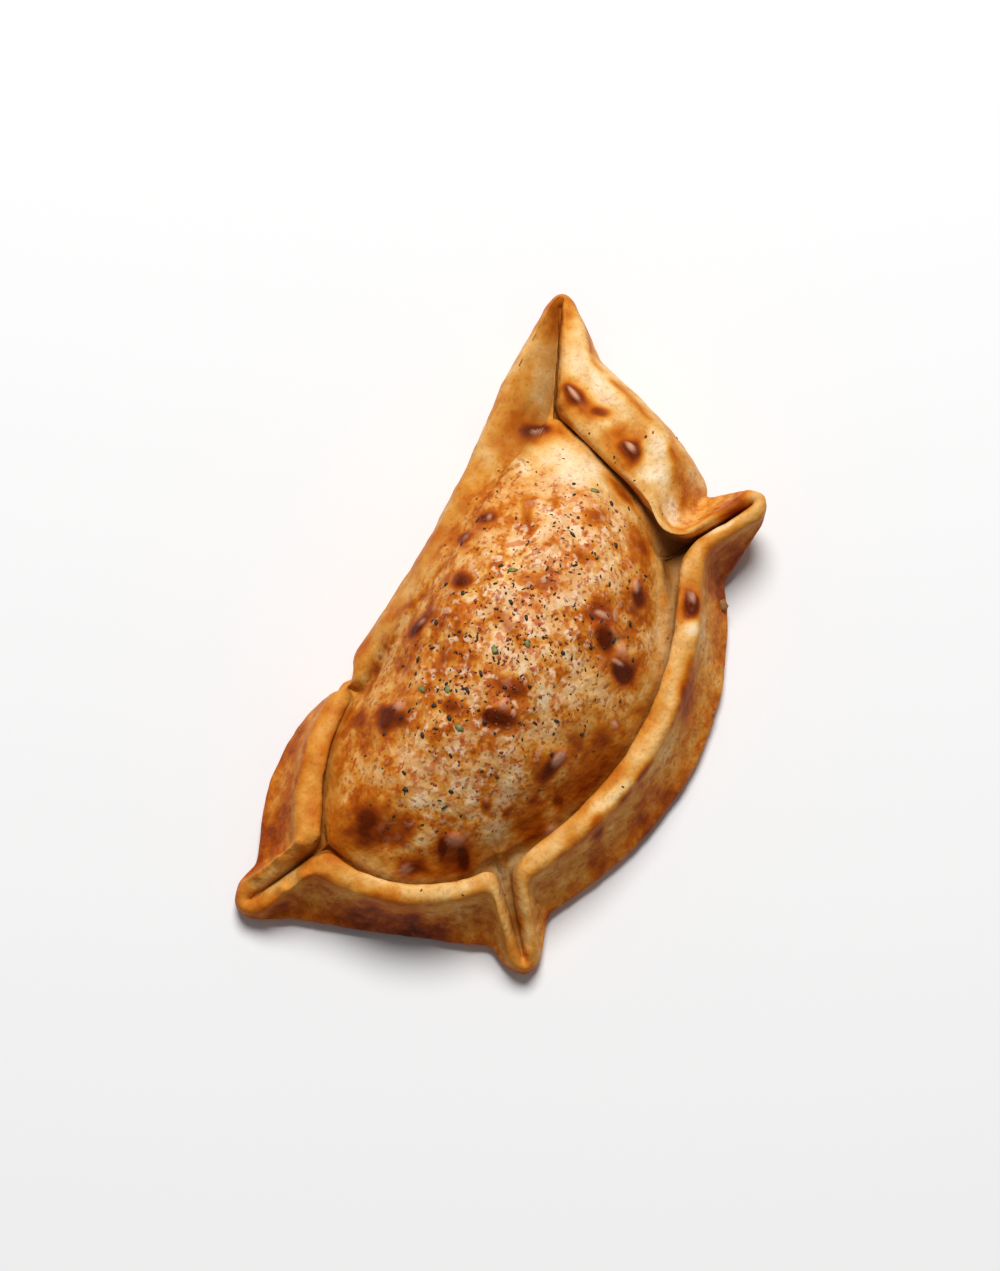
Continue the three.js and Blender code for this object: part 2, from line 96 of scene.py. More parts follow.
EARS = [
    Ear(
        root=(59.5, 16.2), tip=(88.9, 29.4), rise=(20, 8), slit=(6, 2), gap=(0.4, 0.3),
        hollow=1.4, lobes=((0, 12.8), (0, 2.8)), lobe_tip=(2.2, 0.8), tip_half=3.5,
        skirts=((5, 14.2), (14.6, 11.8)), tip_lift=5, foot=28,
    ),
    Ear(
        root=(42, -30.5), tip=(61.6, -41.8), rise=(21.5, 18.5), slit=(8, 2), gap=(0.35, 0.3),
        hollow=5.5, lobes=((-6.2, 1.2), (0, 2.4)), round=(1, 0.6), lobe_tip=(2.1, 2.1), tip_half=4.7,
        skirts=((13.4, 10.4), (5.4, 10.2)), tip_lift=14, foot=12,
    ),
    Ear(
        root=(-53.5, -30), tip=(-69.4, -44), rise=(20, 7), slit=(7.5, 2), gap=(1.5, 0.4),
        hollow=4, lobes=((0, 3.5), (0, 3.5)), lobe_tip=(1.6, 1.6), tip_half=4.2,
        skirts=((8.8, 8.6), (13.2, 7.2)), tip_lift=3, foot=19.5,
    ),
    Ear(
        root=(-70, 14.5), tip=(-88.9, 25.5), rise=(18.5, 7), slit=(4, 1.2), gap=(0.35, 0.3),
        hollow=2, lobes=((0, 4), (0, 3.6)), lobe_tip=(2.8, 2.6), tip_half=5.4,
        skirts=((12.2, 8.9), (12.3, 7.3)), tip_lift=3.5, foot=19.5,
    ),
    Ear(
        root=(-28.7, 27.2), tip=(-28.3, 28), rise=(13, 10), slit=(1.5, 0.8), gap=(0.4, 0.3),
        hollow=1.4, lobes=((0, 1.6), (0, 1.6)), lobe_tip=(0.4, 0.4), tip_half=3,
        skirts=((2.8, 4.2), (6.2, 4.4)), tip_lift=8, foot=2.6,
    ),
]
SHARP_EAR, RIGHT_EAR, BOTTOM_EAR, LEFT_EAR = EARS[:4]  # the last one is a corner on the fold


def ear_length(ear):
    return math.dist(ear.root, ear.tip)


def ear_axis(ear):
    return (np.array(ear.tip) - ear.root) / ear_length(ear)


def place(ear, along, across):
    """The plan point of (along, across) on an ear, across counted towards the flap after it."""
    axis = ear_axis(ear)
    return ear.root + axis * along + np.array([axis[1], -axis[0]]) * across


SLIT_BACK = 3  # a slit starts this far behind an ear's root
SLIT_SHORT = 3.5  # and stops this far from its tip
TIP_FALL = 0.5  # fall of the crest at the tip
TIP_WALL = 2.6  # the skirt's line passes the tip by this much
FOOT_ROUND = 1.2  # rounding of the base under the tip


class Side(NamedTuple):
    """The edge after the ear of the same number, measured at its middle, square to its chord."""

    bulge: float  # how far the crest bows out
    rise: float  # height of the crest
    edge_run: float  # the crease lies this far inside the crest
    edge_drop: float  # and this far below it
    skirt_run: float  # the skirt's widest line lies this far outside the crest
    skirt_rise: float  # at this height
    skirt_lean: float  # and is widest this far past the middle
    rolled: tuple = (1, 1, 1)  # 1 where it is rolled, 0 where it is smooth: at its start, middle and end
    broad: tuple = (0, 0, 0)  # 1 where a flap lies flat behind it, at the same places


SIDES = [
    Side(3.6, 23, 2.4, 5.5, 18, 4, 1, broad=(1, 1, 0)),
    Side(13.6, 21, 3.2, 4.5, 11.3, 3, -0.5),
    Side(5.6, 19.5, 2.2, 4.5, 7.6, 3, 0),
    Side(3.5, 16.5, 3.2, 4, 9, 4, 0, rolled=(1, 0.9, 0.3)),
    Side(-1.7, 21, 5.5, -6, 2.4, 9, 10, rolled=(0, 0, 0)),
]
BASE_INSET = 2.5  # of the flat base from the skirt's line

# Shares of the way (in plan, in height) from the crease to the crest. Away from the ears a rolled lip
# hangs over the crease. At the ears it falls off gently into the slit, and the groove between dome and
# crease is deeper.
PINCHED_LIP = [(0, 0), (0.08, 0.32), (0.24, 0.66), (0.55, 0.92), (1, 1)]
PINCHED_TO = 0.25  # share of the way to a side's middle that a pinched lip reaches
ROLLED_LIP = [(0, 0), (0.01, 0.42), (0.05, 0.8), (0.27, 0.97), (1, 1)]
OVERHANG = [(0, 0), (-0.3, 0), (-0.25, 0), (-0.08, 0), (0, 0)]
SMOOTH_LIP = [(n / 4, n / 4) for n in range(5)]
GROOVE_AT = 0.6  # share of the way from the dome's hem to the crease
GROOVE_DEPTH = 1  # at the ears
GROOVE_RUN = 1.5  # length of the groove's own way into a slit

# The outer half of a rolled edge is round, and the skirt sweeps out from under it
ROLL_RADIUS = 2.5
ROLL_LIMIT = 0.75  # a roll takes up at most this share of the way to the skirt's line
ROLL_TURNS = [math.pi / 6, math.pi / 3, math.pi / 2]
ROLLED_SKIRT = [(0.14, 0.26), (0.38, 0.54), (0.7, 0.8), (1, 1)]  # shares from the roll on

# Shares from the crest to the skirt's line of the broad flap and of the fold, and under to the base
BROAD_SKIRT = [
    (0.05, 0), (0.11, 0.03), (0.19, 0.08), (0.36, 0.12), (0.62, 0.14), (0.86, 0.45), (1, 1),
]
SMOOTH_SKIRT = [
    (0.12, 0.04), (0.24, 0.09), (0.36, 0.15), (0.52, 0.26), (0.7, 0.42), (0.88, 0.68), (1, 1),
]
UNDER = [(0.3, 0.65), (1, 1)]

# Sampling: stations round each loop, and rings from the crown to the base
STATION_STEP = 4  # spacing of the solid's stations
FINE = 5  # stations here for each one of those
SOFTEN = 2.0  # rounding of the corners of a loop
HEM_SOFTEN = 5.5  # of the dome's hem
ROUND_SOFTEN = 6.0  # and of the edge at the lobes that are rounder
ROUND_REACH = 9.0  # how far from such a lobe that goes
DOME_RINGS = 62
GROOVE_STEPS = [4, 4]
LIP_STEPS = [3, 3, 3, 3]
SKIRT_STEPS = [3, 3, 3, 5, 6, 6, 6]
UNDER_STEPS = [3, 2]


class Mark(NamedTuple):
    """A blister, a scorch, the skin of a bubble with its painted highlight, a brown or pale patch, a
    wrinkle or a ripple.
    """

    at: tuple  # plan position
    radius: float
    height: float = 0  # how far the crust is blown up
    stretch: float = 1  # its length as a share of its width
    turn: float = 0  # direction of its length, in degrees from +X
    dark: float = 0  # how scorched its middle is
    toast: float = 0  # how brown it is, and round it
    pale: float = 0  # how pale it is
    shine: float = 0  # how pink and glossy it is, as the skin of a bubble; the pink is partly a painted highlight


# The large blisters of the solid
BLISTERS = [
    Mark((9, -24), 6, 1.5, toast=0.9),
    Mark((4, -30), 5, 1.4, toast=1),
    Mark((-32, 11), 5, 1.2, toast=0.9),
    Mark((-22, -12), 5, 1.2, toast=0.7),
    Mark((-56, 4), 8, 1.2, toast=0.6),
    Mark((-54, -16), 5.5, 1, toast=0.9),
    Mark((-25, -28), 5, 1, toast=0.9),
    Mark((22, -26), 5, 0.9, toast=0.7),
    Mark((28, 2), 6, 0.9),
    Mark((49, 16), 5, 1.2, toast=0.6),
    Mark((62, 12), 5, 1.3, toast=0.75),
    Mark((56, -7), 5, 1.3, toast=0.9),
]

# Scorched places, mostly on the shaded side of a blister, so that their dark is partly painted shade, with
# their values in the order above
SCORCHES = [
    Mark((50.2, 16.4), 2.2, 0, 1.9, -55, 0.65, 0.7),
    Mark((62.1, 11.8), 2.4, 0, 2, 58, 0.82, 0.9),
    Mark((56, -7.4), 2.9, 0, 1.4, 58, 0.82, 0.9),
    Mark((61.3, 4), 1.6, 0, 1.8, -62, 0.62, 0.7),
    Mark((20.5, 14.5), 1.7, 0.4, 1.5, -50, 0.95, 0.7),
    Mark((14, 17.5), 2, 0.5, dark=0.7, toast=0.8),
    Mark((2.5, 12.2), 2.8, 0.7, dark=0.95, toast=0.9),
    Mark((-10.3, 16.8), 1.9, 0.7, 1.9, -20, 0.85, 0.8),
    Mark((11, -20.8), 3.2, dark=0.65),
    Mark((6.1, -25.3), 2.6, 0, 1.9, 40, 0.8),
    Mark((2.5, -32.2), 3.3, dark=1),
    Mark((21, -27), 2, 0, 1.8, 28, 0.95),
    Mark((-33.4, 12), 3.6, dark=1),
    Mark((-26, -0.7), 2.2, 0.4, dark=0.7, toast=0.7),
    Mark((-23.6, -12.5), 2.8, 0, 1.6, -62, 0.88),
    Mark((-26, -28), 1.9, 0, 2.6, -17, 0.9),
    Mark((-57.5, 5.5), 4, 0, 1.4, 0, 0.75, 1),
    Mark((-57, -1.5), 3, 0, 1.5, -62, 0.4, 1),
    Mark((-54, -15.7), 4, dark=0.5),
    Mark((-55.2, -13.4), 1.6, 0, 1.8, 28, 0.9),
    Mark((-53.9, -18.4), 1.6, 0, 1.8, 40, 0.9),
    Mark((-62, -8.5), 2.6, 0.4, 1.8, -62, 0.6, 0.8),
    Mark((-41.5, -18), 1.9, 0.5, dark=0.7, toast=0.7),
    Mark((-38.6, -29), 4, dark=0.3, toast=0.9),
    Mark((-31.6, -32.6), 1.5, dark=0.6, toast=0.6),
    Mark((-13.7, -35.5), 3.5, 0.3, 1.5, 10, 0.4, 0.9),
    Mark((27.4, -38.5), 2.2, 0.5, 1.7, 28, 1, 0.8),
    Mark((9, -47.4), 1.7, 0, 4, 20, 0.4, 0.6),
    Mark((-32.3, -44), 1.6, 0, 2, 20, 0.3, 0.8),
    Mark((-27, -53), 2.2, 0, 1.8, 20, 0.1, 0.7),
    Mark((-37, -47), 2, 0, 1.6, 20, 0.1, 0.7),
    Mark((-73.3, -3), 2.4, 0, 1.8, -62, 0.15, 0.7),
    Mark((-60, 28), 2, 0, 2, 20, 0.1, 0.6),
]

# Skins of bubbles, glossy, their pink partly a painted highlight
BUBBLES = [
    Mark((49.8, 15.8), 0.9, 0.5, 2.2, -55, shine=1),
    Mark((62.4, 12), 0.7, 0.7, 4, 58, shine=1),
    Mark((65.2, 4.7), 1.7, 0.5, shine=0.65),
    Mark((56.3, -6.8), 1, 0.7, 2, 58, shine=1),
    Mark((21, 14.2), 0.8, 0.3, shine=0.8),
    Mark((14.3, 17.1), 0.9, 0.3, shine=0.6),
    Mark((-9.5, 16.3), 0.9, 0.4, 1.6, -20, shine=0.6),
    Mark((11.2, -22), 1, 0.4, 2, -75, shine=0.8),
    Mark((7.2, -29.4), 1.8, 0.7, 1.4, 28, shine=0.6),
    Mark((3.6, -30.3), 0.7, 0.3, 2.4, -70, shine=1),
    Mark((23, -25.3), 0.9, 0.5, 2.2, 28, shine=0.9),
    Mark((-30.5, 11.3), 1.7, 0.6, shine=0.75),
    Mark((-20.4, -11.8), 1.8, 0.5, shine=0.7),
    Mark((-20.8, -14.7), 0.8, 0.4, shine=1),
    Mark((-23.8, -28.6), 1.2, 0.6, 2.3, -17, shine=0.8),
    Mark((-51.9, -15.6), 1.6, 0.5, 1.5, -62, shine=0.45),
    Mark((-63.6, -7.8), 1.3, 0.4, 1.5, -62, shine=0.6),
    Mark((-40.4, -17.8), 0.8, 0.3, shine=0.7),
    Mark((-37.5, -34.3), 1.5, 0.6, shine=0.7),
    Mark((-9, -36.2), 1.1, 0.6, shine=0.9),
    Mark((29.4, -38.1), 0.8, 0.3, 2, 28, shine=0.7),
]

# Browned patches
PATCHES = [
    Mark((45, 19), 3, 0, 2, -40, toast=0.8),
    Mark((53, 25), 4.5, 0, 2, 28, toast=0.8),
    Mark((42, -41), 4, 0, 2, -30, 0.12, 0.6),
    Mark((-24, -55.5), 4, 0, 2.5, -15, 0.12, 0.6),
    Mark((-76.5, -10), 5, 0, 3, -73, 0.3, 0.9),
    Mark((55.7, -3.4), 2.6, toast=0.7),
    Mark((57, -20), 2.4, 0, 2.5, 45, toast=0.6),
    Mark((55.2, -36), 2.4, 0, 2, -30, 0.25, 0.6),
    Mark((45.3, -10), 1.5, 0.3, 3, 69, 0.4, 0.9),
    Mark((27.3, 7), 1.8, 0.3, 2.8, 28, 0.35, 0.9),
    Mark((32, 2.3), 2.2, 0.3, dark=0.4, toast=0.9),
    Mark((33.4, -9), 2.6, 0.3, dark=0.35, toast=0.8),
    Mark((21.7, -12.2), 1.8, 0.3, 2.2, 69, 0.35, 0.8),
    Mark((33, -20.5), 3.2, 0.3, 1.4, 28, 0.35, 0.9),
    Mark((10, -4), 2.2, 0.3, 1.8, -62, 0.3, 0.7),
    Mark((-2.5, -3.5), 1.8, 0.3, 2.2, 50, 0.4, 0.6),
    Mark((-15.5, 6), 2, 0.3, 1.8, 0, 0.35, 0.8),
    Mark((-15.9, -11.3), 2.4, 0.3, 1.6, -62, 0.45, 0.9),
    Mark((-17, -31), 4, 0, 1.6, -17, toast=0.8),
    Mark((-20, -36), 5, 0, 1.8, -10, 0.25, 0.9),
    Mark((2, -39.7), 4, 0, 1.6, 10, toast=0.5),
    Mark((-44.3, 14), 4, 0, 1.4, toast=0.7),
    Mark((-36, 20), 2.5, dark=0.3, toast=0.7),
    Mark((-51, 9), 4, toast=0.8),
    Mark((-34.4, -3), 2.5, 0.3, toast=0.7),
    Mark((-32, 3), 5, toast=0.5),
    Mark((-45, -6.3), 2.2, 0.3, toast=0.7),
]

# Pale patches: partly the dough's own paler colour, partly painted light, as sheen on the middle of the
# dome and lighter slits at the ears
PALE_PATCHES = [
    Mark((26.3, 1.7), 3.4, 0, 1.9, 28, pale=0.6),
    Mark((27.4, -6.6), 1.8, 0.2, pale=0.6),
    Mark((15.8, -2.2), 2.6, 0.2, 1.5, -62, pale=0.9),
    Mark((15.5, 5), 2.4, 0.2, pale=0.8),
    Mark((10, -13.5), 2.6, 0.2, 1.4, -62, pale=1),
    Mark((-7.3, -3.5), 2.2, 0.2, pale=0.8),
    Mark((0.3, 7.8), 2.4, 0.2, pale=0.7),
    Mark((20.4, -18), 3.5, 0.2, 1.5, -62, pale=0.7),
    Mark((-48.6, -4), 2.4, 0.2, pale=0.7),
    Mark((-36.2, -22), 2.6, 0.2, pale=0.7),
    Mark((42, 5), 9, 0, 1.3, -62, pale=0.45),
    Mark((57, -13.5), 4.5, 0, 1.8, 28, pale=1),
    Mark((68, 7), 3.2, 0, 2.2, 45, pale=0.6),
    Mark((22, -42), 2.6, 0.3, pale=0.8),
    Mark((47, -23), 3, 0, 1.5, 20, pale=0.7),
    Mark((49.6, -36.3), 1.3, 0, 4, -30, pale=0.7),
    Mark((-61.4, -42.4), 4, 0, 2, 41, pale=0.45),
    Mark((-79, 20), 4, 0, 2, -30, pale=0.35),
    Mark((-23.5, -44), 1.8, 0, 4.5, -24, pale=0.6),
    Mark((-60, 31), 3.5, 0, 3, 15, pale=0.2),
]

# Wrinkles that run together where the dome was pushed against the edge: where they meet, and the
# directions that they come from
FANS = [((-1.5, -41.5), (75, 95, 115, 135)), ((-50, -27.5), (5, 30, 55, 80))]
FAN_RUN = 3.5  # from where they meet to a wrinkle's middle
WRINKLE = Mark((0, 0), 0.7, -0.45, 4.5, dark=0.15)
RIPPLE = Mark((0, 0), 2.1, 1.7, 1.3, toast=0.3)


def fan_wrinkles(meeting, turns):
    wrinkles = []
    for turn in turns:
        way = math.radians(turn)
        at = (meeting[0] + FAN_RUN * math.cos(way), meeting[1] + FAN_RUN * math.sin(way))
        wrinkles.append(WRINKLE._replace(at=at, turn=turn))
    return wrinkles


WRINKLES = [wrinkle for fan in FANS for wrinkle in fan_wrinkles(*fan)]


def lobe_ripples(ear, count, across):
    """Ripples across the two lobes of a pinched ear, on either lobe by turns."""
    axis = ear_axis(ear)
    turn = math.degrees(math.atan2(axis[1], axis[0])) + 90
    ripples = []
    for n in range(count):
        spot = place(ear, ear_length(ear) * (n + 0.5) / count, across * (-1) ** n)
        ripples.append(RIPPLE._replace(at=tuple(spot), turn=turn))
    return ripples


RIPPLES = lobe_ripples(LEFT_EAR, count=7, across=3.4)
MARKS = BLISTERS + SCORCHES + BUBBLES + PATCHES + PALE_PATCHES + WRINKLES + RIPPLES
WARP = 0.4  # share of a mark's radius by which its outline wanders
WARP_SIZE = 3.5
WARP_SEED = 3

# What a mark does to the crust ends at the first share of its radius, and fades over the second
DARK_FADE = (1.35, 1)
TOAST_FADE = (2, 1.5)
HALO_FADE = (2.1, 0.9)
HALO_TOAST = 0.8  # how brown the ring round a scorch is, as a share of how scorched it is
PALE_FADE = (1.2, 0.7)
SHINE_FADE = (1.2, 0.9)

# Bands along the edge: how strong they are, how far from the crest, and how wide
ROLL_TOP = (0.15, -0.5, 1.5)  # pale
ROLL_EDGE = (0.8, 3, 2)  # brown
ROLL_BLOTCH = (0.4, 3.2, 1.3)  # scorched
FLAP_MIDDLE = (0.35, 6, 5)  # pale
FLAP_BEND = (0.7, 13, 2.5)  # brown
FLAP_STRIP = (0.28, 12.6, 1.2)  # scorched
BLOTCH_BREAKS = (0, 0.4)  # the marks' warp where the scorched bands show, and are full
STRIP_BREAKS = (-0.4, 0.2)

# Brown ends and sides. A start is where something begins and is full, a fade its end and the fade's width
TIP_TOAST = (0.8, 0.4, 0.8, 0.8)  # how brown the tips of the first four ears are
TIP_REACH = 0.4  # how far that goes, as a share of the ear's length
FOLD_TOAST = 0.65  # how brown the side of the fold is
FOLD_START = (-4, 12)  # along Y
FOLD_FADE = (45, 12)  # along X
FOLD_SPARED = 0.7  # how far the seasoning spares it towards the blunt end
SPARED_FADE = (-30, 25)
BLUNT_TOAST = 0.08  # how brown the blunt end is
BLUNT_FADE = (-20, 25)
LOW_FADE = (14, 12)  # of the lowest part of the crust, in height
SKIRT_START = (3, 8)  # of the skirt under a narrow edge, down from the crest

# The seasoned part of the dome, and its crown, where the most is strewn and the painted sheen shows
SEASON_START = (1, 10)  # inwards from the dome's hem
SEASON_FOLD = 10  # it reaches this much further out at the smooth fold
SEASON_FADE = (46, 12)  # along X
CROWN_AT = (-4, -6)
CROWN_HALF = (50, 19)
CROWN_FADE = (1.3, 0.7)  # in shares of its half sizes

# Painted shade in the creases and in the hollows at the ears
CREASE_WIDTH = 0.35  # half-width, as a share of the lip
SMOOTH_WIDTH = 0.45  # more of it where the edge is smooth
SMOOTH_SHADE = 0.85  # strength at the ends of a smooth edge
TIP_LIGHT = 0.85  # how much weaker it is at the tips of the blunter ears
PINCH_SHADE = 0.8  # strength between dome and crease at the ears
PINCH_FADE = 1.5  # it sets in over this distance from the dome's hem
PINCH_END = (0.5, 1)  # and fades past the crease
NOTCH_REACH = 6  # of the painted shade in the notch at the sharp ear
HOLLOW_REACH = 13  # of the hollow at the right ear
HOLLOW_SHADE = 0.7  # how much stronger the shade is there
HOLLOW_BACK = 4  # and how much further in it goes

# Gentle unevenness of the whole crust
LUMP_HEIGHT = 0.5
LUMP_LENGTHS = (27, 21)
RELIEF_FROM = 14  # it and the marks are full from this height on
GRAIN = [(7, 0.3), (3, 0.2)]  # size and height of the finer unevenness
SEED_SHIFT = (17.3, 5.9, 11.1)  # step through the noise from one seed to the next
FLOOR_FADE = 2  # the finer unevenness fades below this height

# Flakes of herb, spread over the dome by the solid's rule
FLAKE_COUNT = 60
FLAKE_HALF = (0.8, 0.45, 0.4)
FLAKE_SPREAD = 0.4
FLAKE_REACH = 0.85
FLAKE_SEED = 11
GOLDEN_TURN = math.pi * (3 - math.sqrt(5))


# Loops of the dough

ROLLED, BROAD, AWAY = 3, 4, 5  # columns of a loop's points, after x, y and z


def ear_points(i, roots, shoulders, tip):
    """The five points that a loop has at an ear: root, shoulder, tip, shoulder, root.

    A point is x, y, z, rolled, broad and away: rolled and broad follow the side that it belongs to, and
    away goes from 0 at the ears to 1 in the middle of a side.
    """
    before, after = SIDES[i - 1], SIDES[i]
    kinds = np.array([(before.rolled[-1], before.broad[-1], 0), (after.rolled[0], after.broad[0], 0)])

    def point(spot, hand, kind):
        along, across, z = spot
        return np.array([*place(EARS[i], along, hand * across), z, *kind])

    return [
        point(roots[0], -1, kinds[0]),
        point(shoulders[0], -1, kinds[0]),
        point((tip[0], 0, tip[1]), 1, kinds.mean(axis=0)),
        point(shoulders[1], 1, kinds[1]),
        point(roots[1], 1, kinds[1]),
    ]


def crest_points(i):
    ear = EARS[i]
    length = ear_length(ear)
    roots = [(*lobe, ear.rise[0]) for lobe in ear.lobes]
    shoulders = [(length - across, across, ear.rise[1]) for across in ear.lobe_tip]
    return ear_points(i, roots, shoulders, (length, ear.rise[1] - TIP_FALL))


def crease_points(i):
    ear = EARS[i]
    stop = max(ear_length(ear) - SLIT_SHORT, 0)
    root = (-SLIT_BACK, ear.gap[0], ear.rise[0] - ear.slit[0])
    floor = ear.rise[1] - ear.slit[1]
    return ear_points(i, [root] * 2, [(stop, ear.gap[1], floor)] * 2, (stop + ear.gap[1], floor))


def hem_points(i):
    ear = EARS[i]
    back = -SLIT_BACK - ear.hollow
    z = ear.rise[0] - ear.slit[0] + HEM_RISE + HOLLOW_SLOPE * (ear.hollow - HEM_INSET)
    root = (back, HEM_INSET, z)
    return ear_points(i, [root] * 2, [(back, 0, z)] * 2, (back, z))


def groove_points(i):
    ear = EARS[i]
    back = -SLIT_BACK - ear.hollow * (1 - GROOVE_AT)
    stop = back + GROOVE_RUN
    z = ear.rise[0] - ear.slit[0] - GROOVE_DEPTH
    root = (back, ear.gap[0], z)
    return ear_points(i, [root] * 2, [(stop, ear.gap[1], z)] * 2, (stop + ear.gap[1], z))


def skirt_points(i):
    ear = EARS[i]
    length = ear_length(ear)
    roots = [(*spot, side.skirt_rise) for spot, side in zip(ear.skirts, (SIDES[i - 1], SIDES[i]))]
    shoulders = [(length - across, ear.tip_half, ear.tip_lift) for across in ear.lobe_tip]
    return ear_points(i, roots, shoulders, (length + TIP_WALL, ear.tip_lift))


def base_points(i):
    ear = EARS[i]
    roots = [(along - BASE_INSET, across - BASE_INSET, 0) for along, across in ear.skirts]
    return ear_points(i, roots, [(ear.foot - FOOT_ROUND, FOOT_ROUND, 0)] * 2, (ear.foot, 0))


def side_middle(i, out, z, lean=0):
    """The middle of side i, set out from the chord of its crest and shifted along it by lean."""
    start = crest_points(i)[-1][:2]
    end = crest_points((i + 1) % len(EARS))[0][:2]
    run = (end - start) / np.linalg.norm(end - start)
    plan = (start + end) / 2 + lean * run + out * np.array([-run[1], run[0]])
    return np.array([*plan, z, SIDES[i].rolled[1], SIDES[i].broad[1], 1])


def line(start, end, steps):
    share = np.arange(steps)[:, None] / steps
    return start + (end - start) * share


def bow(start, middle, end, steps):
    """The parabola through three points."""
    s = np.arange(steps)[:, None] / steps
    return (1 - s) * (1 - 2 * s) * start + 4 * s * (1 - s) * middle + s * (2 * s - 1) * end


def soften(path, width):
    """Rounds a closed path's corners by a Gaussian of that width."""
    count = len(path)
    steps = np.minimum(np.arange(count), count - np.arange(count))
    weights = np.exp(-0.5 * (steps * STATION_STEP / FINE / width) ** 2)
    spectrum = np.fft.rfft(weights / weights.sum())
    return np.fft.irfft(np.fft.rfft(path, axis=0) * spectrum[:, None], count, axis=0)


def flank_steps(ear):
    return FINE * max(1, round(ear_length(ear) / STATION_STEP))


def loop(points_at, middle_rule, width=SOFTEN):
    """A closed loop of stations through the ears' points, with the sides bowed between them."""
    path = []
    for i, ear in enumerate(EARS):
        following = (i + 1) % len(EARS)
        tip, shoulder, root = points_at(i)[2:]
        next_root, next_shoulder, next_tip = points_at(following)[:3]
        side_steps = FINE * round(math.dist(ear.root, EARS[following].root) / STATION_STEP)
        middle = side_middle(i, *middle_rule(SIDES[i]))
        path.append(line(tip, shoulder, FINE))
        path.append(line(shoulder, root, flank_steps(ear)))
        path.append(bow(root, middle, next_root, side_steps))
        path.append(line(next_root, next_shoulder, flank_steps(EARS[following])))
        path.append(line(next_shoulder, next_tip, FINE))
    return soften(np.concatenate(path), width)


def roundness(crest):
    """How far the edge gives way to a rounder one at each station of the crest."""
    share = np.zeros(len(crest))
    for i, ear in enumerate(EARS):
        points = crest_points(i)
        for amount, lobe in zip(ear.round, (points[0], points[-1])):
            near = bump(distance(crest[:, :2], lobe[:2]), 0, ROUND_REACH)
            share = np.maximum(share, amount * near)
    return share


def dome_ring(hem, share):
    turn = DOME_START - 2 * math.pi * np.arange(len(hem)) / len(hem)
    rounded = DOME_CENTRE + DOME_HALF * np.stack([np.cos(turn), np.sin(turn)], axis=1)
    outline = rounded + (hem[:, :2] - rounded) * share**DOME_ROUNDING
    plan = DOME_CENTRE + (outline - DOME_CENTRE) * share
    z = DOME_TOP + (hem[:, 2] - DOME_TOP) * share**DOME_FULLNESS
    return np.column_stack([plan, z])


def part(start, end, shares):
    """The points that lie shares (in plan, in height) of the way from one loop to another."""
    plan, height = np.broadcast_to(shares, (len(start), 2)).T
    return start[:, :3] + (end[:, :3] - start[:, :3]) * np.column_stack([plan, plan, height])


def mix(first, second, weight):
    return first + (np.asarray(second) - first) * weight[:, None]


def groove_ring(hem, groove, crease, crest):
    """The ring between the dome's hem and the crease, which lies in the groove near the ears."""
    straight = hem + (crease - hem) * GROOVE_AT
    return mix(straight, groove, crest[:, ROLLED] * (1 - crest[:, AWAY]) ** 2)[:, :3]


def lip_ring(crease, crest, n):
    """Ring n from the crease up to the crest, by the kind of edge at each station."""
    away = crest[:, AWAY]
    rolled = np.array(ROLLED_LIP[n]) + np.outer(away, OVERHANG[n])
    lip = mix(np.array([PINCHED_LIP[n]]), rolled, soft_step(away, 0, PINCHED_TO))
    return part(crease, crest, mix(np.array([SMOOTH_LIP[n]]), lip, crest[:, ROLLED]))


def roll_ring(crest, skirt, turn):
    """The points at a turn from the top of a rolled edge, on its outer half."""
    run = np.linalg.norm(skirt[:, :2] - crest[:, :2], axis=1)
    radius = np.minimum(ROLL_RADIUS, ROLL_LIMIT * run)
    out = (skirt[:, :2] - crest[:, :2]) * (radius * math.sin(turn) / run)[:, None]
    return np.column_stack([crest[:, :2] + out, crest[:, 2] - radius * (1 - math.cos(turn))])


def skirt_ring(crest, skirt, n):
    """Ring n from the crest down to the skirt's line, by the kind of edge at each station."""
    last = len(ROLL_TURNS) - 1
    narrow = roll_ring(crest, skirt, ROLL_TURNS[min(n, last)])
    if n > last:
        narrow = part(narrow, skirt, ROLLED_SKIRT[n - last - 1])
    flap = mix(narrow, part(crest, skirt, BROAD_SKIRT[n]), crest[:, BROAD])
    return mix(part(crest, skirt, SMOOTH_SKIRT[n]), flap, crest[:, ROLLED])


def spline(rings, steps):
    """A smooth run through a list of rings, with the given steps in each gap, at every station."""
    points = np.array(rings)
    chords = np.diff(points, axis=0)
    gaps = np.sqrt(np.maximum(np.linalg.norm(chords, axis=2, keepdims=True), 1e-6))
    slopes = chords / gaps
    inner = (slopes[:-1] * gaps[1:] + slopes[1:] * gaps[:-1]) / (gaps[:-1] + gaps[1:])
    tangents = np.concatenate([slopes[:1], inner, slopes[-1:]])
    made = []
    for i, count in enumerate(steps):
        for s in np.arange(count) / count:
            made.append(
                (1 + 2 * s) * (1 - s) ** 2 * points[i]
                + s * (1 - s) ** 2 * gaps[i] * tangents[i]
                + s**2 * (3 - 2 * s) * points[i + 1]
                - s**2 * (1 - s) * gaps[i] * tangents[i + 1]
            )
    made.append(points[-1])
    return made


class Dough(NamedTuple):
    """The dough's grid of points before its relief, and what is known of each of them."""

    points: np.ndarray  # the crown, then ring after ring
    faces: list
    crest_run: np.ndarray  # distance from the crest down the flap, less than 0 on its inner side
    lip_run: np.ndarray  # distance from the crease to the crest
    crease_run: np.ndarray  # distance from the crease, less than 0 on the dome
    hem_run: np.ndarray  # distance from the dome's hem towards the crown
    rolled: np.ndarray
    broad: np.ndarray
    away: np.ndarray


# How far out, how high and how far along the middle of a side lies, for each loop


def crest_middle(side):
    return side.bulge, side.rise


def crease_middle(side):
    return side.bulge - side.edge_run, side.rise - side.edge_drop


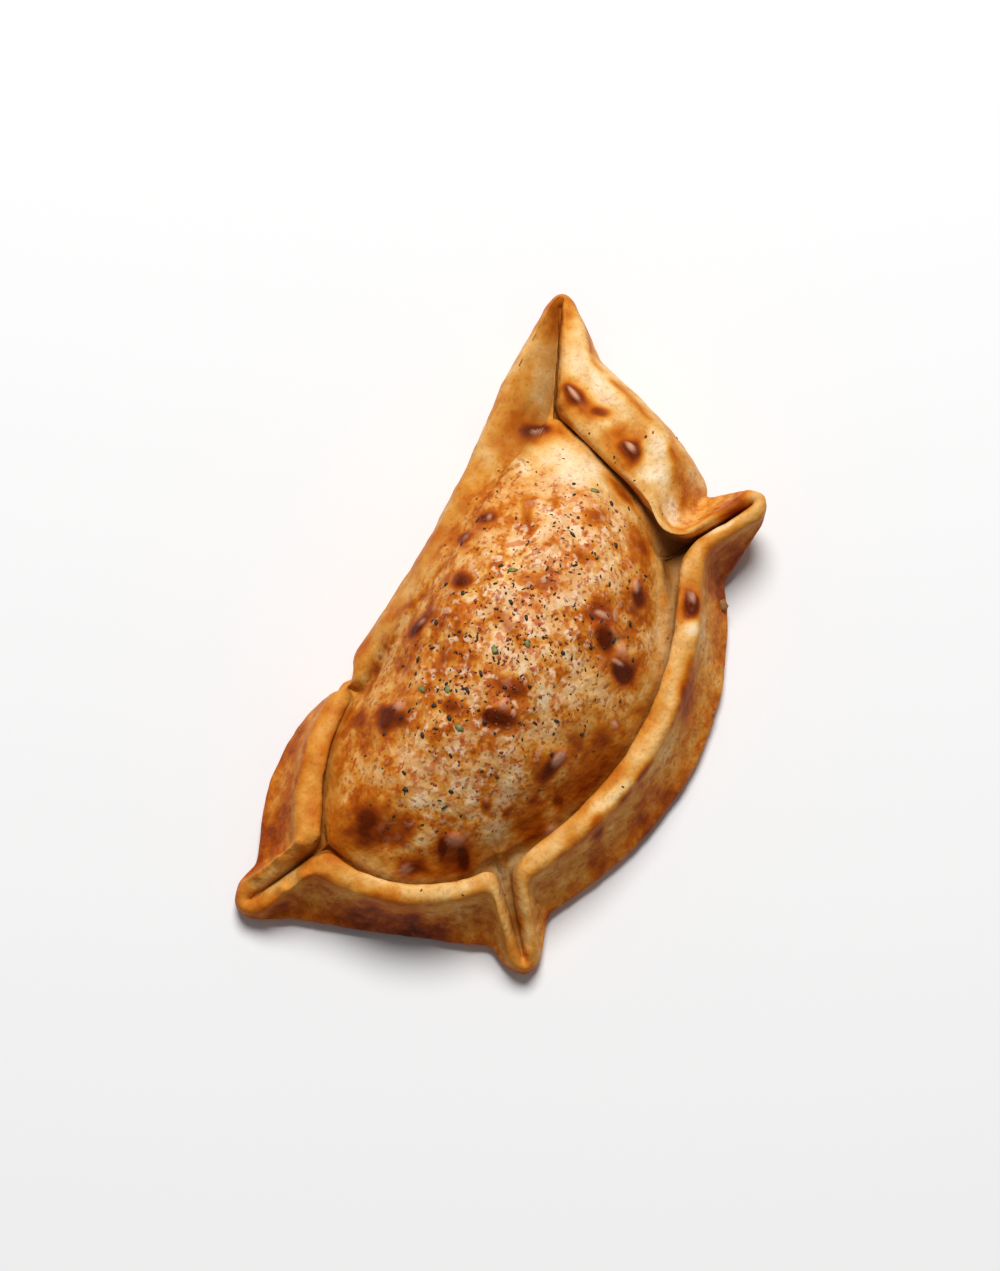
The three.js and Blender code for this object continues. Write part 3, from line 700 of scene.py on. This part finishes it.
def hem_middle(side):
    out, z = crease_middle(side)
    return out - HEM_INSET, z + HEM_RISE


def groove_middle(side):
    out, z = crease_middle(side)
    return out - HEM_INSET * (1 - GROOVE_AT), z + HEM_RISE * (1 - GROOVE_AT)


def skirt_middle(side):
    return side.bulge + side.skirt_run, side.skirt_rise, side.skirt_lean


def base_middle(side):
    return side.bulge + side.skirt_run - BASE_INSET, 0, side.skirt_lean


def edge_loop(points_at, middle_rule, share):
    """A loop of the edge, which gives way to a rounder one by a share at each station."""
    return mix(loop(points_at, middle_rule), loop(points_at, middle_rule, ROUND_SOFTEN), share)


def dough_grid():
    share = roundness(loop(crest_points, crest_middle))
    crest = edge_loop(crest_points, crest_middle, share)
    crease = edge_loop(crease_points, crease_middle, share)
    hem = loop(hem_points, hem_middle, HEM_SOFTEN)
    groove = loop(groove_points, groove_middle)
    skirt = loop(skirt_points, skirt_middle)
    base = loop(base_points, base_middle)

    dome = [dome_ring(hem, n / DOME_RINGS) for n in range(1, DOME_RINGS + 1)]
    profile = [dome.pop(), groove_ring(hem, groove, crease, crest)]
    profile += [lip_ring(crease, crest, n) for n in range(len(ROLLED_LIP))]
    profile += [skirt_ring(crest, skirt, n) for n in range(len(SMOOTH_SKIRT))]
    profile += [part(skirt, base, shares) for shares in UNDER]
    rings = np.array(dome + spline(profile, GROOVE_STEPS + LIP_STEPS + SKIRT_STEPS + UNDER_STEPS))

    runs = np.linalg.norm(np.diff(rings, axis=0), axis=2)
    along = np.concatenate([np.zeros((1, len(hem))), np.cumsum(runs, axis=0)])
    hem_row = len(dome)
    crease_row = hem_row + sum(GROOVE_STEPS)
    crest_row = crease_row + sum(LIP_STEPS)

    def listed(values, crown):
        return np.concatenate([[crown], np.broadcast_to(values, along.shape).ravel()])

    crown = np.array([*DOME_CENTRE, DOME_TOP])
    return Dough(
        points=np.concatenate([[crown], rings.reshape(-1, 3)]),
        faces=grid_faces(rings),
        crest_run=listed(along - along[crest_row], -DOME_HALF[1]),
        crease_run=listed(along - along[crease_row], -DOME_HALF[1]),
        hem_run=listed(along[hem_row] - along, DOME_HALF[1]),
        lip_run=listed(along[crest_row] - along[crease_row], DOME_HALF[1]),
        rolled=listed(crest[:, ROLLED], 0),
        broad=listed(crest[:, BROAD], 0),
        away=listed(crest[:, AWAY], 1),
    )


def grid_faces(rings):
    """A fan at the crown, strips of quads between the rings, and a flat base."""
    ring_count, count = rings.shape[:2]
    index = 1 + np.arange(ring_count * count).reshape(ring_count, count)
    turned = np.roll(index, -1, axis=1)
    fan = [(0, b, a) for a, b in zip(index[0], turned[0])]
    quads = np.stack([index[:-1], turned[:-1], turned[1:], index[1:]], axis=2).reshape(-1, 4)
    outline = [Vector((x, y, 0)) for x, y, _ in rings[-1]]
    base = [tuple(index[-1][n] for n in face) for face in tessellate_polygon([outline])]
    return fan + quads.tolist() + base


# Relief and browning of the dough, with its painted shade and highlights


def soft_step(value, low, high):
    share = np.clip((value - low) / (high - low), 0, 1)
    return share * share * (3 - 2 * share)


def faded(value, fade):
    """1 at first, falling to 0 at the end of a fade, over its width."""
    end, width = fade
    return soft_step(end - value, 0, width)


def bump(value, middle, width):
    return np.exp(-(((value - middle) / width) ** 2))


def over(first, second):
    """Two shares of browning, one on top of the other."""
    return 1 - (1 - first) * (1 - second)


def distance(plan, spot):
    return np.linalg.norm(plan - spot, axis=1)


def field(points, size, seed):
    """Smooth random values between about -1 and 1, in patches of that size."""
    shift = Vector([seed * step for step in SEED_SHIFT])
    return np.array([noise.noise(Vector(point) / size + shift) for point in points])


def mark_share(plan, mark, wander):
    """Distance from a mark's middle, as a share of its radius."""
    turn = math.radians(mark.turn)
    x, y = (plan - mark.at).T
    along = (x * math.cos(turn) + y * math.sin(turn)) / mark.stretch
    across = y * math.cos(turn) - x * math.sin(turn)
    return np.hypot(along, across) / mark.radius + WARP * wander


def lumps(plan):
    x, y = (2 * math.pi * plan / LUMP_LENGTHS).T
    return LUMP_HEIGHT * np.sin(x + np.sin(y)) * np.cos(y - x / 2)


def relief(plan, wander):
    height = lumps(plan)
    for mark in MARKS:
        share = mark_share(plan, mark, wander)
        height += mark.height * np.maximum(1 - share**2, 0) ** 2
    return height


def normals_of(points, faces):
    triangles = np.array([face[:3] for face in faces])
    corners = points[triangles]
    across = np.cross(corners[:, 1] - corners[:, 0], corners[:, 2] - corners[:, 0])
    summed = np.zeros_like(points)
    for corner in range(3):
        np.add.at(summed, triangles[:, corner], across)
    return summed / np.maximum(np.linalg.norm(summed, axis=1, keepdims=True), 1e-12)


def raised(dough, wander):
    """The dough's points with its relief: marks straight up, the finer unevenness along the normal."""
    points = dough.points.copy()
    z = points[:, 2]
    lifted = np.minimum(z / RELIEF_FROM, 1) ** 2
    points[:, 2] = z + relief(points[:, :2], wander) * lifted
    fine = sum(height * field(points, size, seed=size) for size, height in GRAIN)
    normals = normals_of(points, dough.faces)
    return points + normals * (fine * np.clip(z / FLOOR_FADE, 0, 1))[:, None]


def mark_browning(plan, wander):
    """How scorched, brown, pale and shiny the marks make each point; the shine is gloss and a painted
    highlight.
    """
    dark, toast, pale, shine = np.zeros((4, len(plan)))
    for mark in MARKS:
        share = mark_share(plan, mark, wander)
        dark = np.maximum(dark, mark.dark * faded(share, DARK_FADE))
        toast = over(toast, mark.toast * faded(share, TOAST_FADE))
        toast = over(toast, HALO_TOAST * mark.dark * faded(share, HALO_FADE))
        pale = np.maximum(pale, mark.pale * faded(share, PALE_FADE))
        shine = np.maximum(shine, mark.shine * faded(share, SHINE_FADE))
    return dark, toast, pale, shine


def painted_crease_shade(dough, plan):
    """How much shade is painted on each point: the shade of a crease or of an ear's hollow."""
    notch = bump(distance(plan, SHARP_EAR.root), 0, NOTCH_REACH)
    hollow = bump(distance(plan, RIGHT_EAR.root), 0, HOLLOW_REACH)
    pinch = soft_step(-dough.hem_run, -HOLLOW_BACK * hollow, PINCH_FADE)
    pinch *= faded(dough.crease_run, PINCH_END)
    pinch *= np.maximum(1 - dough.away, hollow) * (PINCH_SHADE + HOLLOW_SHADE * hollow)
    tipward = np.zeros(len(plan))
    for ear in (RIGHT_EAR, BOTTOM_EAR, LEFT_EAR):
        tipward += soft_step((plan - ear.root) @ ear_axis(ear), 0, ear_length(ear))
    width = (CREASE_WIDTH + SMOOTH_WIDTH * (1 - dough.rolled)) * dough.lip_run
    crease = bump(dough.crease_run + dough.away * dough.rolled, 0, width)
    crease *= np.maximum(dough.rolled, SMOOTH_SHADE * (1 - dough.away))
    crease *= 1 - TIP_LIGHT * np.clip(tipward, 0, 1)
    return np.maximum(crease, pinch * np.maximum(dough.rolled, notch))


def browning(dough, points, wander):
    """Shares of scorched, brown, pale and so on at each point of the crust, and of the painted shade in
    its creases.
    """
    plan = points[:, :2]
    x, y, z = points.T
    narrow = dough.rolled * (1 - dough.broad)
    season = soft_step(dough.hem_run + SEASON_FOLD * (1 - dough.rolled), *SEASON_START)
    season *= faded(x, SEASON_FADE)

    def band(strength, run, width):
        return strength * bump(dough.crest_run, run, width)

    dark, toast, pale, shine = mark_browning(plan, wander)
    dark = np.maximum(dark, band(*FLAP_STRIP) * dough.broad * soft_step(wander, *STRIP_BREAKS))
    dark = np.maximum(dark, band(*ROLL_BLOTCH) * narrow * dough.away * soft_step(wander, *BLOTCH_BREAKS))
    pale = np.maximum(pale, band(*ROLL_TOP) * narrow * dough.away)
    pale = np.maximum(pale, band(*FLAP_MIDDLE) * dough.broad * (1 - toast))

    tips = np.zeros(len(points))
    for strength, ear in zip(TIP_TOAST, EARS):
        tips += strength * bump(distance(plan, ear.tip), 0, TIP_REACH * ear_length(ear))
    fold_side = FOLD_TOAST * soft_step(y, *FOLD_START) * faded(x, FOLD_FADE)
    fold_side *= 1 - FOLD_SPARED * season * faded(x, SPARED_FADE)
    blunt_end = BLUNT_TOAST * faded(x, BLUNT_FADE) * season
    for extra in (tips, band(*ROLL_EDGE) * narrow, band(*FLAP_BEND) * dough.broad, fold_side, blunt_end):
        toast = over(toast, np.clip(extra, 0, 1))
    return {
        "dark": dark,
        "toast": toast,
        "pale": pale,
        # the pink skins of bubbles with their painted highlights
        "shine": shine,
        # painted shade in the creases and in the hollows at the ears
        "crease": painted_crease_shade(dough, plan),
        "skirt": soft_step(dough.crest_run, *SKIRT_START) * narrow,
        "low": faded(z, LOW_FADE),
        "season": season,
        "crown": season * faded(distance((plan - CROWN_AT) / CROWN_HALF, 0), CROWN_FADE),
    }


# Materials


def srgb(red, green, blue):
    """A display colour of 0 to 255 as the linear colour that a shader takes."""
    shares = np.array([red, green, blue]) / 255
    linear = np.where(shares <= 0.04045, shares / 12.92, ((shares + 0.055) / 1.055) ** 2.4)
    return (*linear.tolist(), 1.0)


# Colours of the crust as it browns, each with its place on the way from raw to burnt
CRUST_COLOURS = [
    (0.0, srgb(250, 222, 180)),
    (0.25, srgb(238, 190, 118)),
    (0.45, srgb(220, 148, 58)),
    (0.62, srgb(196, 104, 20)),
    (0.8, srgb(152, 64, 12)),
    (1.0, srgb(96, 34, 6)),
]

# The plain dough's place on that way, and what the masks and noises add to it
NOISE_MIDDLE = 0.5
PLAIN_BROWN = 0.33
WASH_BROWN = 0.6
PATCH_BROWN = 0.4
TOAST_BROWN = 0.24
DARK_BROWN = 0.54
PALE_BROWN = -0.42
SKIRT_BROWN = 0.1
STREAK_BROWN = 0.6
LOW_BROWN = 0.14
SEASON_BROWN = 0.04
MOTTLE_PATCH = 0.9  # the seasoned part is mottled by patches
MOTTLE_SPOT = 0.5  # and by smaller spots
MOTTLE_TOP = 0.26  # adding this much at most
MOTTLE_TOASTED = 0.5  # and this share of it where the crust is brown


class Tint(NamedTuple):
    """A colour that shows in the spots of a noise."""

    colour: tuple
    spots: tuple  # values of the noise where a spot starts, and is full
    shares: tuple  # share of the colour outside the spots, and in them

    def share(self, grain):
        return grain.step(*self.spots, *self.shares)


BEIGE = Tint(srgb(224, 164, 108), (0.35, 0.6), (0.2, 0.75))
# pale flecks of painted sheen on the crown of the dome
PAINTED_SHEEN_FLECKS = Tint(srgb(248, 212, 174), (0.54, 0.66), (0, 0.75))
EMBER = Tint(srgb(204, 106, 40), (0.54, 0.6), (0, 0.8))
RUSSET = Tint(srgb(168, 66, 20), (0.6, 0.68), (0, 0.75))
SKIRT_RUSSET = Tint(RUSSET.colour, (0.56, 0.61), (0, 0.5))
PORE_RUSSET = Tint(RUSSET.colour, (0.56, 0.72), (0, 0.25))
RUDDY = Tint(srgb(160, 72, 30), (0.63, 0.72), (0, 0.6))
SKIN_AND_PAINTED_GLINT = srgb(240, 178, 142)  # skins of bubbles, their pink partly a painted highlight
SKIN_AND_PAINTED_GLINT_SHARE = 0.75
PAINTED_SHADE = srgb(80, 44, 18)  # painted shade in the creases and hollows
PAINTED_SHADE_SHARE = 0.6
SCORCH_HIDES = 2.0  # how much of the seasoning a scorch hides
TOAST_HIDES = 0.6  # and how much of the beige a brown place hides
BEIGE_TO = (0.36, 0.56)  # browning at which the beige starts to give way, and is gone
SPARSE_SEASON = 0.3  # share of specks on the rest of the crust
CRUST_ROUGHNESS = 0.36
SKIN_ROUGHNESS = 0.22
SKIN_FULL = 0.8  # shine at which the crust is as smooth as a skin
PORE_ROUGHNESS = 0.1
CRUST_SPECULAR = 0.05
SPOT_HEIGHT = 0.7  # height of the spots and of the pores, as shares of that of the flecks
PORE_HEIGHT = 0.25
BUMP_HEIGHT = 0.8
BUMP_STRENGTH = 0.5


class Value:
    """A value that varies over a material, reckoned with by nodes."""

    def __init__(self, look, socket):
        self.look = look
        self.socket = socket

    def math(self, operation, other):
        return self.look.node("Math", {0: self, 1: other}, operation=operation)

    def __add__(self, other):
        return self.math("ADD", other)

    def __sub__(self, other):
        return self.math("SUBTRACT", other)

    def __mul__(self, other):
        return self.math("MULTIPLY", other)

    def at_least(self, limit):
        return self.math("MAXIMUM", limit)

    def at_most(self, limit):
        return self.math("MINIMUM", limit)

    def step(self, low, high, start=0.0, end=1.0):
        """A smooth step from start to end as the value goes from low to high."""
        inputs = {"Value": self, "From Min": low, "From Max": high, "To Min": start, "To Max": end}
        return self.look.node("MapRange", inputs, "Result", interpolation_type="SMOOTHSTEP")


class Look:
    """A material being made of nodes."""

    def __init__(self, name):
        self.material = bpy.data.materials.new(name)
        self.material.use_nodes = True
        self.tree = self.material.node_tree
        self.shader = self.tree.nodes["Principled BSDF"]
        self.place = self.node("TexCoord", {}, "Object")

    def put(self, socket, value):
        if isinstance(value, Value):
            self.tree.links.new(value.socket, socket)
        else:
            socket.default_value = value

    def node(self, kind, inputs, output=0, **settings):
        """The output of a new node with those inputs and settings."""
        made = self.tree.nodes.new("ShaderNode" + kind)
        for name, setting in settings.items():
            setattr(made, name, setting)
        for name, value in inputs.items():
            self.put(made.inputs[name], value)
        return Value(self, made.outputs[output])

    def set(self, **values):
        for name, value in values.items():
            self.put(self.shader.inputs[name.replace("_", " ")], value)

    def mask(self, name):
        return self.node("Attribute", {}, "Fac", attribute_name=name)

    def grain(self, size, seed, detail=2.0, roughness=0.5):
        """Noise in patches of that size in millimetres."""
        shifted = self.node("VectorMath", {0: self.place, 1: (seed, -seed, seed)})
        scale = 1 / (size * MM)
        inputs = {"Vector": shifted, "Scale": scale, "Detail": detail, "Roughness": roughness}
        return self.node("TexNoise", inputs)

    def blend(self, share, first, second):
        return self.node("Mix", {0: share, 6: first, 7: second}, 2, data_type="RGBA")

    def ramp(self, value, stops):
        """The colour at a place on the way through the stops."""
        colour = self.node("ValToRGB", {"Fac": value}, "Color")
        elements = colour.socket.node.color_ramp.elements
        while len(elements) < len(stops):
            elements.new(0.5)
        for element, stop in zip(elements, stops):
            element.position, element.color = stop
        return colour

    def roughen(self, height, depth, strength):
        """Bump of that depth in millimetres, by a height of 0 to 1."""
        inputs = {"Height": height, "Distance": depth * MM, "Strength": strength}
        self.set(Normal=self.node("Bump", inputs, "Normal"))


def dough_material():
    look = Look("baked_dough")
    names = ("dark", "toast", "pale", "shine", "crease", "skirt", "low", "season", "crown")
    dark, toast, pale, shine, crease, skirt, low, season, crown = map(look.mask, names)
    wash = look.grain(16, seed=1) - NOISE_MIDDLE
    patch = look.grain(5, seed=2, detail=1) - NOISE_MIDDLE
    spot = look.grain(2.4, seed=3, detail=1)
    pore = look.grain(0.7, seed=4)
    fleck = look.grain(2.4, seed=6, detail=1)
    streak = look.grain(2.6, seed=7, detail=4, roughness=0.7) - NOISE_MIDDLE
    crumb = look.grain(1.1, seed=8, detail=1) - NOISE_MIDDLE
    speckle = look.grain(1.6, seed=9)
    cloud = look.grain(9, seed=10, detail=1)
    freckle = look.grain(1.1, seed=11, detail=0)
    crisp = look.grain(2.6, seed=12, detail=3, roughness=0.6)

    scorched = dark * SCORCH_HIDES
    unburnt = (season - scorched).at_least(0)
    mottle = patch * MOTTLE_PATCH + (spot - NOISE_MIDDLE) * MOTTLE_SPOT + crumb * MOTTLE_SPOT
    mottled = mottle.at_most(MOTTLE_TOP) * toast.step(0, 1, 1, MOTTLE_TOASTED)
    brown = (
        wash * WASH_BROWN
        + PLAIN_BROWN
        + patch * PATCH_BROWN
        + unburnt * (mottled + SEASON_BROWN)
        + toast * TOAST_BROWN
        + dark * DARK_BROWN
        + pale * PALE_BROWN
        + skirt * (streak * STREAK_BROWN + SKIRT_BROWN)
        + low * LOW_BROWN
    )

    raw = (unburnt - toast * TOAST_HIDES).at_least(0)
    light = raw * brown.step(*BEIGE_TO, 1, 0)
    # where the embers and the painted sheen flecks show
    strewn = crown * unburnt
    sparse = (season.at_least(SPARSE_SEASON) - scorched).at_least(0)
    colour = look.ramp(brown, CRUST_COLOURS)
    for where, grain, tint in (
        (light, cloud, BEIGE),
        # painted sheen
        (strewn, fleck, PAINTED_SHEEN_FLECKS),
        (strewn, crisp, EMBER),
        (skirt, crisp, SKIRT_RUSSET),
        (sparse, speckle, RUSSET),
        (sparse, freckle, RUDDY),
    ):
        colour = look.blend(where * tint.share(grain), colour, tint.colour)
    # pink skins of bubbles, partly a painted highlight
    colour = look.blend(shine * SKIN_AND_PAINTED_GLINT_SHARE, colour, SKIN_AND_PAINTED_GLINT)
    # painted shade in the creases and in the hollows at the ears
    colour = look.blend(crease * PAINTED_SHADE_SHARE, colour, PAINTED_SHADE)
    colour = look.blend(PORE_RUSSET.share(pore), colour, PORE_RUSSET.colour)

    roughness = shine.step(0, SKIN_FULL, CRUST_ROUGHNESS, SKIN_ROUGHNESS) + pore * PORE_ROUGHNESS
    look.set(Base_Color=colour, Roughness=roughness, Specular_IOR_Level=CRUST_SPECULAR)
    look.roughen(fleck + spot * SPOT_HEIGHT + pore * PORE_HEIGHT, BUMP_HEIGHT, BUMP_STRENGTH)
    return look.material


DARKER = 0.6  # the darker tone of a grain
DARKER_SPOTS = (0.3, 0.7)


def plain_material(name, colour, roughness):
    """A material for grains, in two tones of a colour."""
    look = Look(name)
    tone = look.grain(1.2, seed=5).step(*DARKER_SPOTS)
    darker = (*(DARKER * share for share in colour[:3]), 1.0)
    look.set(Base_Color=look.blend(tone, colour, darker), Roughness=roughness)
    return look.material


# Pieces

FLAKE_UNEVEN = (0.75, 1.25)  # limits of the unevenness of flakes and grains
SIZE_SPREAD = 0.45  # spread of their sizes
STREW_SEED = 7


class Strewn(NamedTuple):
    """Flakes or grains strewn at random round a place."""

    count: int
    at: tuple  # plan position
    spread: tuple  # how far they lie from it along X and Y
    half: tuple  # half sizes of one


FINE_HERBS = Strewn(420, (0, -7), (24, 11), (0.4, 0.2, 0.2))
HERB_CLUSTER = Strewn(40, (-22, 3), (8, 4), (0.55, 0.3, 0.28))
SPICE = Strewn(120, (-10, -10), (20, 10), (0.45, 0.32, 0.22))
GREEN_PLACES = [(40, -5), (-5, -10), (-23, 2), (-25, 8), (-10, -4), (-30, -5), (10, 2)]
GREEN_HALF = (1.5, 0.8, 0.35)
GREEN_TURN = 6.3  # greatest turn of a green flake, in radians
CRUMBS = [((35, -45), 0.6, (1.9, 1.4, 1.2)), ((9.5, -55.4), 0, (0.9, 0.7, 0.6))]  # place, turn, half sizes


def add_object(name, data):
    item = bpy.data.objects.new(name, data)
    bpy.context.scene.collection.objects.link(item)
    return item


def add_mesh(name, points, faces, material):
    mesh = bpy.data.meshes.new(name)
    mesh.from_pydata(points.tolist(), [], faces)
    mesh.materials.append(material)
    return add_object(name, mesh)


def add_piece(name, points, faces, material, masks=None):
    """A piece of the pie: points in metres in the solid's frame, riding on its one body."""
    piece = add_mesh(name, points, faces, material)
    piece.data.polygons.foreach_set("use_smooth", [True] * len(faces))
    for mask, values in (masks or {}).items():
        attribute = piece.data.attributes.new(mask, "FLOAT", "POINT")
        attribute.data.foreach_set("value", values.astype(np.float32))
    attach(piece, "root")
    return piece


class SeededDraws:
    """The draws by which the solid places its flakes (Mulberry32)."""

    BITS = 0xFFFFFFFF
    STEP = 0x6D2B79F5

    def __init__(self, seed):
        self.state = seed
        self.draw()

    def draw(self):
        self.state = (self.state + self.STEP) & self.BITS
        t = self.state
        t = ((t ^ (t >> 15)) * (t | 1)) & self.BITS
        t ^= (t + (t ^ (t >> 7)) * (t | 61)) & self.BITS
        return (t ^ (t >> 14)) / (self.BITS + 1)

    def stray(self):
        return FLAKE_SPREAD * (2 * self.draw() - 1)


def flake_spots():
    """Plan position, turn and half sizes of each flake of the solid."""
    draws = SeededDraws(FLAKE_SEED)
    spots = []
    for n in range(FLAKE_COUNT):
        reach = FLAKE_REACH * math.sqrt((n + draws.draw()) / FLAKE_COUNT)
        turn = GOLDEN_TURN * n + draws.stray()
        plan = DOME_CENTRE + DOME_HALF * reach * np.array([math.cos(turn), math.sin(turn)])
        spin = 2 * math.pi * draws.draw()
        half = [size * (1 + draws.stray()) for size in FLAKE_HALF]
        spots.append((plan, spin, half))
    return spots


def random_spots(rng, strewn):
    """The same for flakes strewn at random, thinning outwards."""
    spots = []
    for _ in range(strewn.count):
        plan = np.array(strewn.at) + rng.normal(0, 1, 2) * strewn.spread
        size = 1 + SIZE_SPREAD * rng.uniform(-1, 1)
        spin = rng.uniform(0, 2 * math.pi)
        half = [length * size * rng.uniform(*FLAKE_UNEVEN) for length in strewn.half]
        spots.append((plan, spin, half))
    return spots


def icosahedron():
    """Corners at a distance of 1 from the middle, and faces."""
    golden = (1 + math.sqrt(5)) / 2
    corners = []
    for a in (-1, 1):
        for b in (-golden, golden):
            corners += [(a, b, 0), (0, a, b), (b, 0, a)]
    points = np.array(corners) / math.hypot(1, golden)
    edge = 2 / math.hypot(1, golden)
    faces = []
    for i, j, k in combinations(range(len(points)), 3):
        if max(math.dist(points[p], points[q]) for p, q in ((i, j), (j, k), (i, k))) < 1.01 * edge:
            normal = np.cross(points[j] - points[i], points[k] - points[i])
            faces.append((i, j, k) if normal @ points[i] > 0 else (i, k, j))
    return points, faces


def scattered(tree, spots, rng):
    """Uneven facets lying on the crust, half sunk in it, as one mesh."""
    shape, shape_faces = icosahedron()
    points = []
    faces = []
    for plan, spin, half in spots:
        hit, normal, _, _ = tree.ray_cast(Vector((*plan, 2 * DOME_TOP)), Vector((0, 0, -1)))
        if hit is None:
            continue
        laid = np.array(Vector((0, 0, 1)).rotation_difference(normal).to_matrix())
        cos, sin = math.cos(spin), math.sin(spin)
        spun = np.array([[cos, -sin, 0], [sin, cos, 0], [0, 0, 1]])
        uneven = shape * half * rng.uniform(*FLAKE_UNEVEN, (len(shape), 1))
        start = len(points) * len(shape)
        points.append(uneven @ (laid @ spun).T + np.array(hit))
        faces += [tuple(start + corner for corner in face) for face in shape_faces]
    return np.concatenate(points), faces


# The pie

dough = dough_grid()
flat_points = dough.points * (1, 1, 0)
wander = field(flat_points, WARP_SIZE, WARP_SEED)
crust_points = raised(dough, wander)
masks = browning(dough, crust_points, wander)
low, high = crust_points.min(axis=0), crust_points.max(axis=0)
middle = (np.array(cad_box[0]) + np.array(cad_box[1])) / 2 / MM
SHIFT = np.array([*(middle - (low + high) / 2)[:2], -low[2]])  # from the plan's frame to the solid's


def to_frame(points):
    return (points + SHIFT) * MM


crust = add_piece("crust", to_frame(crust_points), dough.faces, dough_material(), masks)
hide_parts("empanada")

tree = BVHTree.FromPolygons(crust_points.tolist(), dough.faces)
rng = np.random.default_rng(STREW_SEED)


def strew(name, spots, material):
    points, faces = scattered(tree, spots, rng)
    add_piece(name, to_frame(points), faces, material)


herb_spots = flake_spots() + random_spots(rng, FINE_HERBS) + random_spots(rng, HERB_CLUSTER)
strew("herb_flakes", herb_spots, plain_material("dried_herb", srgb(52, 34, 14), roughness=0.6))
green_spots = [(spot, rng.uniform(0, GREEN_TURN), GREEN_HALF) for spot in GREEN_PLACES]
strew("green_flakes", green_spots, plain_material("green_herb", srgb(140, 140, 74), roughness=0.55))
spice_spots = random_spots(rng, SPICE)
strew("spice_grains", spice_spots, plain_material("red_spice", srgb(170, 66, 24), roughness=0.5))
strew("crumbs", CRUMBS, plain_material("crumb", srgb(172, 112, 56), roughness=0.7))

# Floor, light and camera

CAMERA_TARGET = (0, 0, 14)  # in the plan's frame
CAMERA_AZIMUTH = -62
CAMERA_ELEVATION = 76
CAMERA_DISTANCE = 745
LENS = 85
SENSOR_WIDTH = 36
LIGHT_SIDE = Vector((0.883, 0.469, 0)).normalized()  # the side that the light comes from
LIGHT_ELEVATION = 58
LIGHT_DISTANCE = 2.2  # in metres, as the next two
LIGHT_SIZE = 1.1
FLOOR_HALF = 3.0
LIGHT_POWER = 52
SKY_STRENGTH = 0.15


def from_above(side, elevation):
    """The direction at an elevation over a side."""
    tilt = math.radians(elevation)
    return side * math.cos(tilt) + Vector((0, 0, math.sin(tilt)))


def add_aimed(name, data, target, back, distance):
    """A camera or light that looks at a target from a direction."""
    item = add_object(name, data)
    item.location = target + back * distance
    item.rotation_mode = "QUATERNION"
    item.rotation_quaternion = (-back).to_track_quat("-Z", "Y")
    return item


def add_camera():
    data = bpy.data.cameras.new("camera")
    data.lens = LENS
    data.sensor_width = SENSOR_WIDTH
    azimuth = math.radians(CAMERA_AZIMUTH)
    back = from_above(Vector((math.sin(azimuth), -math.cos(azimuth), 0)), CAMERA_ELEVATION)
    target = Vector(to_frame(np.array(CAMERA_TARGET)))
    bpy.context.scene.camera = add_aimed("camera", data, target, back, CAMERA_DISTANCE * MM)


def add_light():
    data = bpy.data.lights.new("key", "AREA")
    data.shape = "DISK"
    data.size = LIGHT_SIZE
    data.energy = LIGHT_POWER
    add_aimed("key", data, Vector(), from_above(LIGHT_SIDE, LIGHT_ELEVATION), LIGHT_DISTANCE)


def add_floor():
    look = Look("pale_floor")
    look.set(Base_Color=srgb(245, 245, 245), Roughness=0.9)
    corners = FLOOR_HALF * np.array([(-1, -1, 0), (1, -1, 0), (1, 1, 0), (-1, 1, 0)])
    floor = add_mesh("floor", corners, [(0, 1, 2, 3)], look.material)


def add_world():
    world = bpy.data.worlds.new("studio")
    world.use_nodes = True
    background = world.node_tree.nodes["Background"]
    background.inputs["Color"].default_value = (1, 1, 1, 1)
    background.inputs["Strength"].default_value = SKY_STRENGTH
    bpy.context.scene.world = world


add_camera()
add_floor()
add_world()
add_light()
bpy.context.scene.view_settings.view_transform = "Standard"
